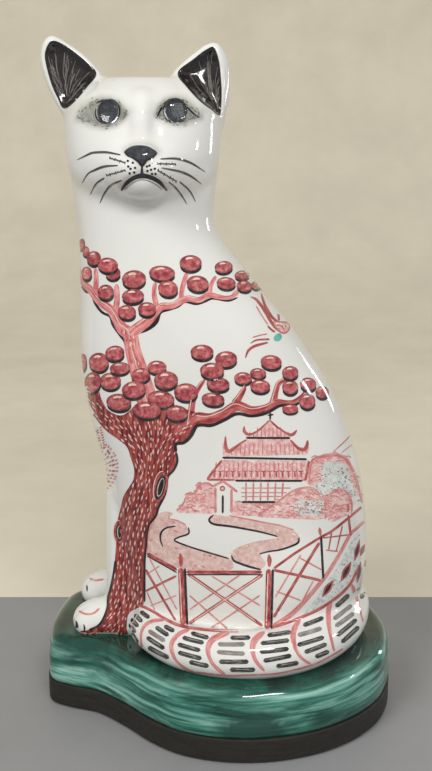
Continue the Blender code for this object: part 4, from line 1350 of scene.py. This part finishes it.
def fence(view):
    many("limb", [[(147, 553.2), (162, 561.6), (177, 570)], [(186.3, 572), (224, 572.2), (262, 572)]], 3.2, 0.17, view, smooth=False)
    many("limb", [[(273.5, 568.6), (295, 553.2), (319.4, 538), (331.6, 531.2), (347, 519), (363.8, 505)]], 2.4, 0.17, view)
    many("dark", [[(147, 555.8), (162, 564.2), (177, 572.6)], [(186.3, 574.6), (262, 574.6)]], 1.1, 0.165, view, cols=1, smooth=False)
    many("limb", [[(180.8, 568), (183.2, 625)], [(268.8, 569), (267.2, 629)]], 5.6, 0.19, view)
    many("dark", [[(184.9, 568), (187.3, 625)], [(272.9, 569), (271.3, 629)], [(321, 536.6), (323.2, 579)]], 2.2, 0.185, view, cols=1)
    many("light", [[(179.8, 572), (182, 622)], [(267.9, 573), (266.4, 626)]], 1.0, 0.205, view, cols=1)
    many("line", [[(180.2, 553, 1.2), (181, 558, 4.4), (181.2, 563, 3.6), (181, 567, 2.2)], [(268.9, 554, 1.2), (269.3, 559, 4.4), (269.4, 563, 3.6), (269.3, 567, 2.2)],
                  [(319.4, 527.4, 1), (319.8, 531, 3), (320.6, 536, 1.6)], [(347.7, 503.4, 1), (347.8, 507.6, 2.8), (348, 512, 1.4)],
                  [(348.3, 514.6, 2.2), (350.6, 536, 2.2)]], 3, 0.20, view)
    many("pink", [[(272, 627, 5), (284, 619.6, 5), (295, 611, 4.6), (310, 595, 4.2), (325.5, 576, 4), (339, 555, 3.6), (350, 534.7, 3.2), (358, 527, 3), (365, 520.6, 2.4)]],
         4, 0.12, view)
    many("limb", [[(188, 573.6), (225, 599.6), (262.6, 626)], [(262.8, 574.4), (225, 599.4), (188.4, 624)]], 3.1, 0.155, view)
    many("light", [[(190, 575.4), (225, 599.8), (261, 625)], [(261, 575.6), (225, 599.6), (190, 623)]], 0.9, 0.18, view, cols=1)
    many("pink", [[(211.8, 576), (260, 605.5)], [(241.4, 573.9), (189.4, 609.6)], [(189.4, 595.3), (228.2, 629.4)], [(260, 595.3), (210.8, 628)]], 1.5, 0.14, view, cols=1)
    many("line", [[(145.5, 591.2), (161, 583.4), (176.6, 575.8)], [(145.5, 569), (160.6, 595), (175.6, 620.6)]], 2.3, 0.15, view)
    many("pink", [[(149.6, 558.6), (177, 609.6)], [(145.5, 575), (159.8, 565.7)], [(150, 606), (176.6, 595.3)], [(147, 592), (155, 610.6)]], 1.2, 0.14, view, cols=1)
    many("line", [[(273.5, 570), (297, 575), (321, 580.4)], [(319.4, 542.4), (297, 579), (273.5, 617.4)]], 2.8, 0.15, view)
    many("pink", [[(301, 554.6), (275, 597.5)], [(299.5, 557.7), (322, 570)], [(276.5, 591.3), (301, 600.5)], [(313.3, 580.6), (299.5, 606.6)]], 1.5, 0.14, view, cols=1)
    many("line", [[(322.5, 538), (348.5, 534.7)], [(331.6, 531.8), (328.6, 550)], [(342.4, 525.5), (336.2, 551.5)], [(325.5, 550), (338, 551.4)]], 1.3, 0.15, view, cols=1)
    ground = np.array([(303, 616), (312, 604), (325, 584), (338, 566), (350, 544), (361, 532), (365.6, 546), (365, 562), (356, 580), (340, 596), (322, 609)])
    fill(L["blue"], ground, 0.08, 3.0, view)
    lo, hi = ground.min(0), ground.max(0)
    for k in range(150):
        q = lo + (hi - lo) * rng.random(2)
        if inside(q[None], ground)[0]:
            disc(L[("hair", "hair", "pink")[k % 3]], q[0], q[1], rng.uniform(0.5, 0.9), rng.uniform(0.4, 0.7), 0, 0.12, 1, view, 1, 7)
    for (x0, y0), (x1, y1), w in (((322, 597), (333.4, 580), 7), ((340.6, 581.6), (351, 561.6), 7), ((354.4, 561), (359.4, 540), 5),
                                  ((360, 556.4), (364.6, 544), 4.4), ((357, 583), (360.4, 561.6), 4.4), ((365, 588), (365.6, 560), 4.4)):
        m = ((x0 + x1) / 2, (y0 + y1) / 2)
        stroke(L["line"], [(x0, y0, 0.8), (*m, w), (x1, y1, 0.8)], w, 0.17, 1.6, 1, (0.2, 0.2), view)
        f = 0.17
        stroke(L["dark"], [(x0 + (x1 - x0) * f, y0 + (y1 - y0) * f, 0.5), (*m, w * 0.5), (x1 - (x1 - x0) * f, y1 - (y1 - y0) * f, 0.5)], w, 0.19, 1.6, 1, (0.2, 0.2), view)


def bird(view):
    many("line", [[(250.2, 296.7, 1), (255.6, 299.1, 2.4), (259.9, 304, 2.8), (264.8, 311, 3), (269.7, 319.7, 3), (275.1, 327.3, 2.8), (280.5, 331.6, 2)],
                  [(261.3, 293.1, 1), (262.6, 298.6, 2.2), (264.8, 305, 2.6), (268.6, 312.1, 2.8), (272.9, 318.1, 2.6), (278, 322, 2)],
                  [(272.9, 296.4, 1), (275.7, 302.3, 1.9), (277.8, 308.8, 2.1), (278.6, 317.5, 2.2), (279, 321, 2)],
                  [(282.2, 312.1, 1), (287.6, 315.4, 1.6), (287, 319.7, 1.8), (289, 327.3, 2), (285.4, 332.7, 1.8)],
                  [(267.5, 325.7), (271, 329.4), (275, 332.2)], [(250.2, 343.5, 0.9), (256.7, 340, 1.6), (269.7, 339.2, 2)],
                  [(245.3, 358.2, 1), (248, 351, 2.4), (252.9, 346.8, 2.8), (259.4, 344.6, 2.6), (268, 342.4, 1.8)]], 2, 0.15, view, step=1.4)
    many("line", [[(273, 320), (279, 322), (287, 322.6), (289.4, 328), (285.6, 333), (280, 332), (275, 327)], [(276, 325), (281, 326), (284, 330)]], 1.2, 0.175, view, step=1.3, cols=1)
    many("pink", [[(252.3, 337.6), (259.4, 335.4), (267.5, 333.8)], [(256, 306), (262, 316), (268, 325)]], 1.3, 0.14, view, cols=1)
    fill(L["rose"], [(272.9, 319.7), (277.3, 321.5), (283.8, 322), (288.1, 323), (289, 328.4), (285.4, 333), (280.5, 332), (275.6, 327.3)], 0.16, 1.6, view)
    disc(L["light"], 285, 326, 1.5, 1.3, 0, 0.18, 1, view, 1, 10)
    disc(L["ink"], 285.3, 326.2, 0.7, 0.7, 0, 0.2, 1, view, 1, 8)
    fill(L["teal"], [(278.9, 333.2), (281.6, 335.4), (281, 339.2), (277.3, 341.4), (273.6, 339.4), (275, 335.6)], 0.16, 1.5, view)


def sprig(view):
    # a fern-like spray: short dashes fanning out from a stem
    for r, name, w in ((6, "blue", 1.6), (9.4, "pink", 1.6), (12.8, "line", 1.8), (16.2, "line", 2.0), (19.6, "pink", 1.7)):
        for a in np.linspace(-1.15, 1.05, max(4, int(r * 0.72))):
            a += rng.uniform(-0.05, 0.05)
            x, y = 97.5 + r * math.cos(a), 468 + 1.25 * r * math.sin(a) - 1.2
            h, b = rng.uniform(1.3, 2.0), a - 0.35
            stroke(L[name], [(x - h * math.cos(b), y - h * math.sin(b)), (x + h * math.cos(b), y + h * math.sin(b))], w, 0.13, 1.2,
                   0.74 if name == "blue" else 1.05, (0.8, 1), view, cols=1)
    for k in range(9):
        x, y = 96.5 + 0.55 * k, 428 + 2.5 * k
        stroke(L["line" if k % 3 else "blue"], [(x - 1.6, y + 1.4), (x + 1.6, y - 1.0)], 1.7, 0.13, 1.2, 0.95, (0.8, 1), view, cols=1)
        stroke(L["line"], [(x + 2.8, y + 0.6), (x + 5.2, y - 1.4)], 1.5, 0.13, 1.2, 1.05, (0.8, 1), view, cols=1)
    many("blue", [[(97, 430), (98, 450), (99, 470), (103, 486)]], 1.1, 0.12, view, cols=1, tone=0.75)


TAIL_TOP = [(136, 605, 1.6), (144, 607, 2.6), (154.8, 612.5, 3), (164.6, 618.7, 3), (178, 625, 3), (196.8, 628.8, 3), (229.8, 631, 3), (262.9, 629, 3),
            (280.7, 624.8, 3), (298.6, 618.4, 3), (316.4, 610.4, 3), (329.8, 602.3, 3), (341.4, 593.4, 3), (350.4, 583.6, 2.8), (355.7, 572.9, 2.4), (359.3, 564, 1.6)]
RINGS = [([(164.6, 620), (155.7, 620.5), (148.6, 622.8), (143.2, 627.7), (141, 635.7), (141.9, 644.6), (145.9, 654.5)], 3),
         ([(189.6, 629.5), (180.7, 633), (174.5, 638.4), (171.3, 645.5), (172.7, 653.6), (177.1, 661.6), (186, 668.8), (195, 672.3)], 3.6),
         ([(229.8, 632.1), (220, 635.7), (212, 640.2), (208, 648.2), (209.3, 657.1), (214.6, 666), (225.4, 675)], 4.8),
         ([(264.6, 631.8), (256.6, 638), (253, 644.3), (253, 653.2), (256.6, 662.1), (264.6, 671)], 5.2),
         ([(300.4, 618.4), (295.9, 625.5), (293.2, 633.6), (293.7, 642.5), (296.8, 651.4), (303, 659.5), (311, 664)], 4.4),
         ([(331.2, 602.3), (328.5, 610.4), (328.5, 621), (329.8, 631.8), (331.6, 640.7), (334.3, 651.4)], 4),
         ([(351.3, 583.6), (353.9, 590.7), (357.5, 601.4), (360.2, 611.2), (362.9, 622)], 3)]
DASH = """140.5 611.2 149.5 617.9 0;134.7 614.3 142.3 621.9 0;131.2 618.3 138.3 626.8 0;129.4 623.7 135.6 632.6 0;131.6 633 137.9 643.3 0;
164.2 625.9 174.5 631.2 0;155.7 626.8 168.7 635.7 0;148.6 630.4 165.1 641 1;146.8 637 164.6 648.7 0;148.1 646.9 169.1 658 0;
191 633 208.8 637.9 0;182.5 637.5 203.9 642.9 0;177.6 644.2 200.4 650.4 0;178 652.2 201.7 658.5 0;189.2 661.6 208.8 666 0;
230.3 637.9 250.4 637.5 0;217.8 644.2 245 644.2 1;216.9 651.8 245 653.6 1;219 661.6 248.6 661.6 0;229.8 669.6 255.3 669.6 0;
267.3 635.4 291 631.8 0;260.6 643.4 289.2 640.3 0;259.7 651.9 288.7 648.7 0;263.3 660.8 291.4 655.4 0;276.2 666.2 298.6 662.6 0;
303 625.5 323.6 617.5 0;297.7 635.4 321.8 628.2 1;297.2 645.2 324 637.1 0;304.4 652.3 326.7 643.8 0;315.1 656.8 328.9 651 0;
335.6 606.8 349 594.3 0;333.4 619.3 351.7 605 1;335.2 626.4 353.9 613 1;336.5 635.8 356.6 619.3 0;341.4 642.5 358.8 626.4 0;
357.5 590.7 361 586.3 0;360.6 598.7 364.2 591.6 0"""


def tail_paint(view):
    stroke(L["line"], TAIL_TOP, 3, 0.15, 1.8, 1.05, (1, 1), view)
    for line, w in RINGS:
        k = len(line) - 1
        stroke(L["pink"], [(x, y, 1.25 * w * (0.55 + 0.45 * math.sin(math.pi * min(1, (i + 0.6) / (k * 0.8))))) for i, (x, y) in enumerate(line)],
               w, 0.14, 1.7, 1.0, (1, 1), view)
    many("pink", [[(195, 672), (225, 675.4), (245, 675), (271, 674), (289.6, 671), (314.6, 664), (334.3, 654), (343, 648.7)]], 1.6, 0.14, view, cols=1)
    for row in DASH.replace("\n", "").split(";"):
        x0, y0, x1, y1, light = map(float, row.split())
        pale = light > 0.5
        stroke(L["hair" if pale else "tailmark"], [(x0, y0), ((x0 + x1) / 2, (y0 + y1) / 2 + 0.3), (x1, y1)], 4.5, 0.17, 1.6,
               1.15 if pale else 0.9, (0.5, 0.5), view, tex=(0.9, 0.12), cols=2)
        if not pale:
            stroke(L["hair"], [(x0 + (x1 - x0) * 0.2, y0 + (y1 - y0) * 0.2 - 0.4), (x1 - (x1 - x0) * 0.22, y1 - (y1 - y0) * 0.22 - 0.4)], 0.9, 0.19, 1.8,
                   1.2, (1, 1), view, cols=1)


def paws(view):
    many("pink", [[(78.5, 610.8), (85.5, 614), (93.2, 613.4), (99.5, 608.3)], [(89.3, 578.3), (95, 580.4), (104, 579.2)]], 2.0, 0.13, view, cols=1)
    many("ink", [[(75.9, 620.4, 0.8), (77, 625, 2.8), (76.7, 629.3, 2.6), (75, 632, 0.8)], [(86.8, 584.7, 0.6), (87.1, 588, 1.6), (87.1, 591.7, 0.6)],
                 [(83.6, 624, 0.6), (84.6, 628, 1.8), (84, 632, 0.6)]], 2, 0.15, view, step=1.2)


def face(view):
    many("hair", [[(120.9, 155, 1.4), (106.3, 152.3, 2.4), (93.5, 152.7, 2.3), (88, 154.6, 2), (77, 160, 0.7)],
                  [(118.2, 165.5, 1.2), (104.5, 166.5, 2.4), (95, 170, 2.3), (88, 173.8, 1.4), (82, 183, 0.7)],
                  [(104.5, 177.9, 1.6), (98, 182, 1.7), (94.4, 186.1, 1.4), (90.3, 194.4, 0.7)],
                  [(121.9, 180.2, 1.4), (110.9, 185.2, 1.9), (104, 194, 1.5), (99.9, 203.5, 0.7)],
                  [(159.8, 159.1, 1.2), (175.8, 158.7, 2.4), (190.5, 162.8, 2.2), (205.1, 171.9, 0.7)],
                  [(161.2, 167.8, 1.2), (179.5, 171.5, 2.4), (190.5, 176, 2.2), (201.9, 184.3, 0.7)],
                  [(179.5, 181.6, 1.6), (189.6, 190.7, 1.6), (195.5, 201.7, 0.7)],
                  [(168.5, 181.6, 1.4), (175.8, 188, 1.8), (182, 196, 1.4), (186.8, 204, 0.7)]], 2, 0.14, view, step=1.5, cols=1, tone=0.42)
    for a, b in (((109.5, 158), (125.5, 162.8)), ((106.3, 175.6), (125.5, 170.1)), ((156.6, 163.7), (175.8, 164.2)), ((157.5, 170.1), (176.7, 181.6))):
        a, b = np.array(a), np.array(b)
        n = 13
        d = (b - a) / n
        q = np.array([-d[1], d[0]]) / np.linalg.norm(d)
        stroke(L["hair"], [tuple(a + d * k + q * (1.7 if k % 2 else -1.7)) for k in range(n + 1)], 1.45, 0.13, 1.0, 0.32, (1, 1), view, smooth=False, cols=1)
    fill(L["slate"], [(124.6, 151.6), (130.1, 147.2), (137.4, 145.4), (146.5, 146.1), (152.6, 149), (156.8, 152.6), (152, 157.2), (146.5, 159.2), (142.4, 164.6),
                      (138.4, 160.6), (131.9, 156.9), (127.3, 155)], 0.15, 1.6, view)
    many("ink", [[(124.4, 151.6, 1.2), (127.3, 155.2, 1.8), (132, 157.4, 2), (137.8, 161.2, 2.2), (142.3, 165.4, 2.6), (146.6, 160.2, 2), (152.2, 158, 1.8), (157, 152.8, 1.2)],
                 [(142.2, 164, 2.2), (141.9, 169, 2), (141.7, 175, 2.6)],
                 [(121.2, 190.4, 1.8), (126.4, 183.4, 3.6), (133.7, 178, 4.2), (142, 175.8, 5), (150.2, 177.2, 4.2), (159.4, 182, 3.6), (167, 190.6, 1.8)]],
         2, 0.36, view, step=1.3)
    many("hair", [[(124.6, 190), (129, 185.6), (135.4, 181.4), (142, 179.6), (149, 181), (156.6, 185), (162.6, 190)]], 1.0, 0.15, view, cols=1)
    for x, y in ((127.8, 161), (132.8, 162.8), (128.3, 166.5), (135.1, 167.8), (130.5, 168.7), (129.6, 173.3), (134.2, 172.4), (153, 162.3), (149.5, 165.5),
                 (147, 166.5), (151.1, 169.7), (154.8, 168.7), (147.5, 170.9), (152, 173.8), (155.5, 173.8)):
        disc(L["ink"], x, y, 1.3, 1.2, 0, 0.16, 1, view, 1, 10)
    many("ink", [[(96, 103.4, 0.8), (101, 101, 1.6), (108, 100.2, 2.0), (114.6, 102.6, 2.0), (118.6, 107, 1.2)],
                 [(157, 117.6, 1), (160, 110.6, 1.8), (166, 103, 2.2), (173, 100.6, 2.2), (180.6, 102.6, 2.0), (187, 107.4, 1.8), (193.4, 113.4, 1.5), (199.6, 117.8, 0.8)]],
         2, 0.15, view, step=1.4)
    for lid, n in ((LID_L, 76), (LID_R, 76)):
        p = np.array(closed(lid), float)
        for _ in range(n):
            t = rng.random() * (len(p) - 1)
            i = int(t)
            q = p[i] + (p[i + 1] - p[i]) * (t - i)
            v = (p[i + 1] - p[i]) / np.linalg.norm(p[i + 1] - p[i])
            q = q + np.array([v[1], -v[0]]) * rng.normal(0, 1.4)
            h = rng.uniform(0.8, 2.2)
            stroke(L["hair"], [tuple(q - v * h), tuple(q + v * h)], rng.uniform(0.5, 1.0), 0.125, 1.4, rng.uniform(0.45, 1.1), (1, 1), view, cols=1)
    many("ink", [[(96.0, 107.6, 0.5), (95.4, 113.4, 1.1), (97.0, 118.8, 1.3), (101.2, 122.8, 1.0), (105.8, 124.0, 0.5)],
                 [(162.9, 111.4, 0.6), (164.4, 116.8, 1.2), (168.4, 121.0, 1.4), (174.1, 122.9, 1.3), (179.7, 122.0, 0.9), (184.4, 118.8, 0.5)]],
         1, 0.14, view, step=1.4)
    stroke(L["hair"], [(93.4, 113, 0.6), (94.4, 119, 1.1), (99, 123.8, 1.1), (105, 125.4, 0.6)], 1.0, 0.16, 1.3, 1.25, (1, 1), view, cols=1)


def ears(view):
    for poly, foot in ((EAR_L, (66, 104)), (EAR_R, (216, 112))):
        p = np.array(poly, float)
        c = p.mean(0)
        fill(L["ear"], c + (p - c) * 1.01, 0.34, 1.25, view, True, 1.0, (0.3, 0.3))
        f = np.array(foot, float)
        for k in range(95):
            t = rng.random() * (len(p) - 1)
            i = int(t)
            q = c + (p[i] + (p[i + 1] - p[i]) * (t - i) - c) * 0.92
            a, b = sorted(rng.uniform(0.12, 0.98, 2))
            u0, u1 = f + (q - f) * a, f + (q - f) * b
            mid = (u0 + u1) / 2 + np.array([(u1 - u0)[1], -(u1 - u0)[0]]) * 0.05
            stroke(L["hair"], [tuple(u0), tuple(mid), tuple(u1)], 0.5, 0.38, 1.6, rng.uniform(0.4, 0.95), (3, 3), view, cols=1)


L["teal"] = Layer("paint_bird_turquoise", [(0.3, s(80, 160, 150)), (0.7, s(120, 195, 182))])
for v in (FRONT, FAR):
    tree(v)
    pagoda(v)
    foliage(v)
    paths(v)
    fence(v)
    bird(v)
sprig(FRONT)
tail_paint(FRONT)
paws(FRONT)
face(FRONT)
ears(FRONT)
for layer in L.values():
    done = layer.finish()
    print(layer.name, len(done.data.polygons) if done else 0)

# ------------------------------------------------------------------ floor and light
def stage():
    mats = []
    for name, colour, rough in (("table", (0.30, 0.30, 0.31), 0.55), ("floor", (0.80, 0.74, 0.61), 0.75)):
        mat, nt, sh = node_mat(name)
        sh.inputs["Roughness"].default_value = rough
        g = noise(nt, mapped(nt, (1, 1, 1)), 9, 4, 0.6)
        lo, hi = tuple(c * 0.95 for c in colour), tuple(c * 1.04 for c in colour)
        nt.links.new(ramp(nt, g, [(0.35, lo), (0.65, hi)]), sh.inputs["Base Color"])
        mats.append(mat)
    bm = bmesh.new()
    prof = [(-3.0, 0.0), (0.134 + float(SHIFT[1]), 0.0), (1.0, 0.0), (1.25, 0.03), (1.45, 0.12), (1.6, 0.3), (1.68, 0.55), (1.7, 1.0), (1.7, 3.5)]
    rows = [[bm.verts.new((x, y, z)) for x in (-4, -2, 0, 2, 4)] for y, z in prof]
    for k, (a, b) in enumerate(zip(rows, rows[1:])):
        for i in range(4):
            bm.faces.new((a[i], a[i + 1], b[i + 1], b[i])).material_index = min(k, 1)
    mesh = bpy.data.meshes.new("floor")
    bm.to_mesh(mesh)
    bm.free()
    smooth_shade(mesh)
    for mat in mats:
        mesh.materials.append(mat)
    floor = new_object("floor", mesh)


stage()


def area(name, loc, target, size, power, colour=(1, 1, 1), size_y=None):
    data = bpy.data.lights.new(name, "AREA")
    data.energy = power
    data.color = colour
    data.shape = "RECTANGLE"
    data.size = size
    data.size_y = size_y or size
    obj = bpy.data.objects.new(name, data)
    bpy.context.scene.collection.objects.link(obj)
    obj.location = loc
    d = Vector(target) - Vector(loc)
    obj.rotation_euler = d.to_track_quat("-Z", "Y").to_euler()
    return obj


for soft in (area("key", (-1.3, -1.5, 1.7), (0, 0, 0.2), 1.0, 27, (1.0, 0.985, 0.95)),
             area("fill", (1.2, -1.8, 0.9), (0, 0, 0.2), 1.2, 6.5, (1.0, 0.97, 0.92))):
    soft.visible_glossy = False
area("glint", (-1.3, -1.5, 1.7), (0, 0, 0.2), 0.2, 1.6, (1.0, 0.985, 0.95))
area("top", (0.22, -1.02, 1.12), (0, 0, 0.32), 0.50, 6.5, (1.0, 0.99, 0.97), 0.14)
area("window", (1.30, 0.80, 0.42), (0.05, 0, 0.25), 0.15, 1.8, (0.82, 0.90, 1.0), 0.36)
area("pane", (1.45, -0.15, 0.52), (0, 0, 0.35), 0.12, 1.0, (0.80, 0.88, 1.0), 0.14)
world = bpy.data.worlds.new("studio")
bpy.context.scene.world = world
world.use_nodes = True
world.node_tree.nodes["Background"].inputs["Color"].default_value = (0.80, 0.79, 0.76, 1)
world.node_tree.nodes["Background"].inputs["Strength"].default_value = 0.50
bpy.context.scene.view_settings.view_transform = "Standard"
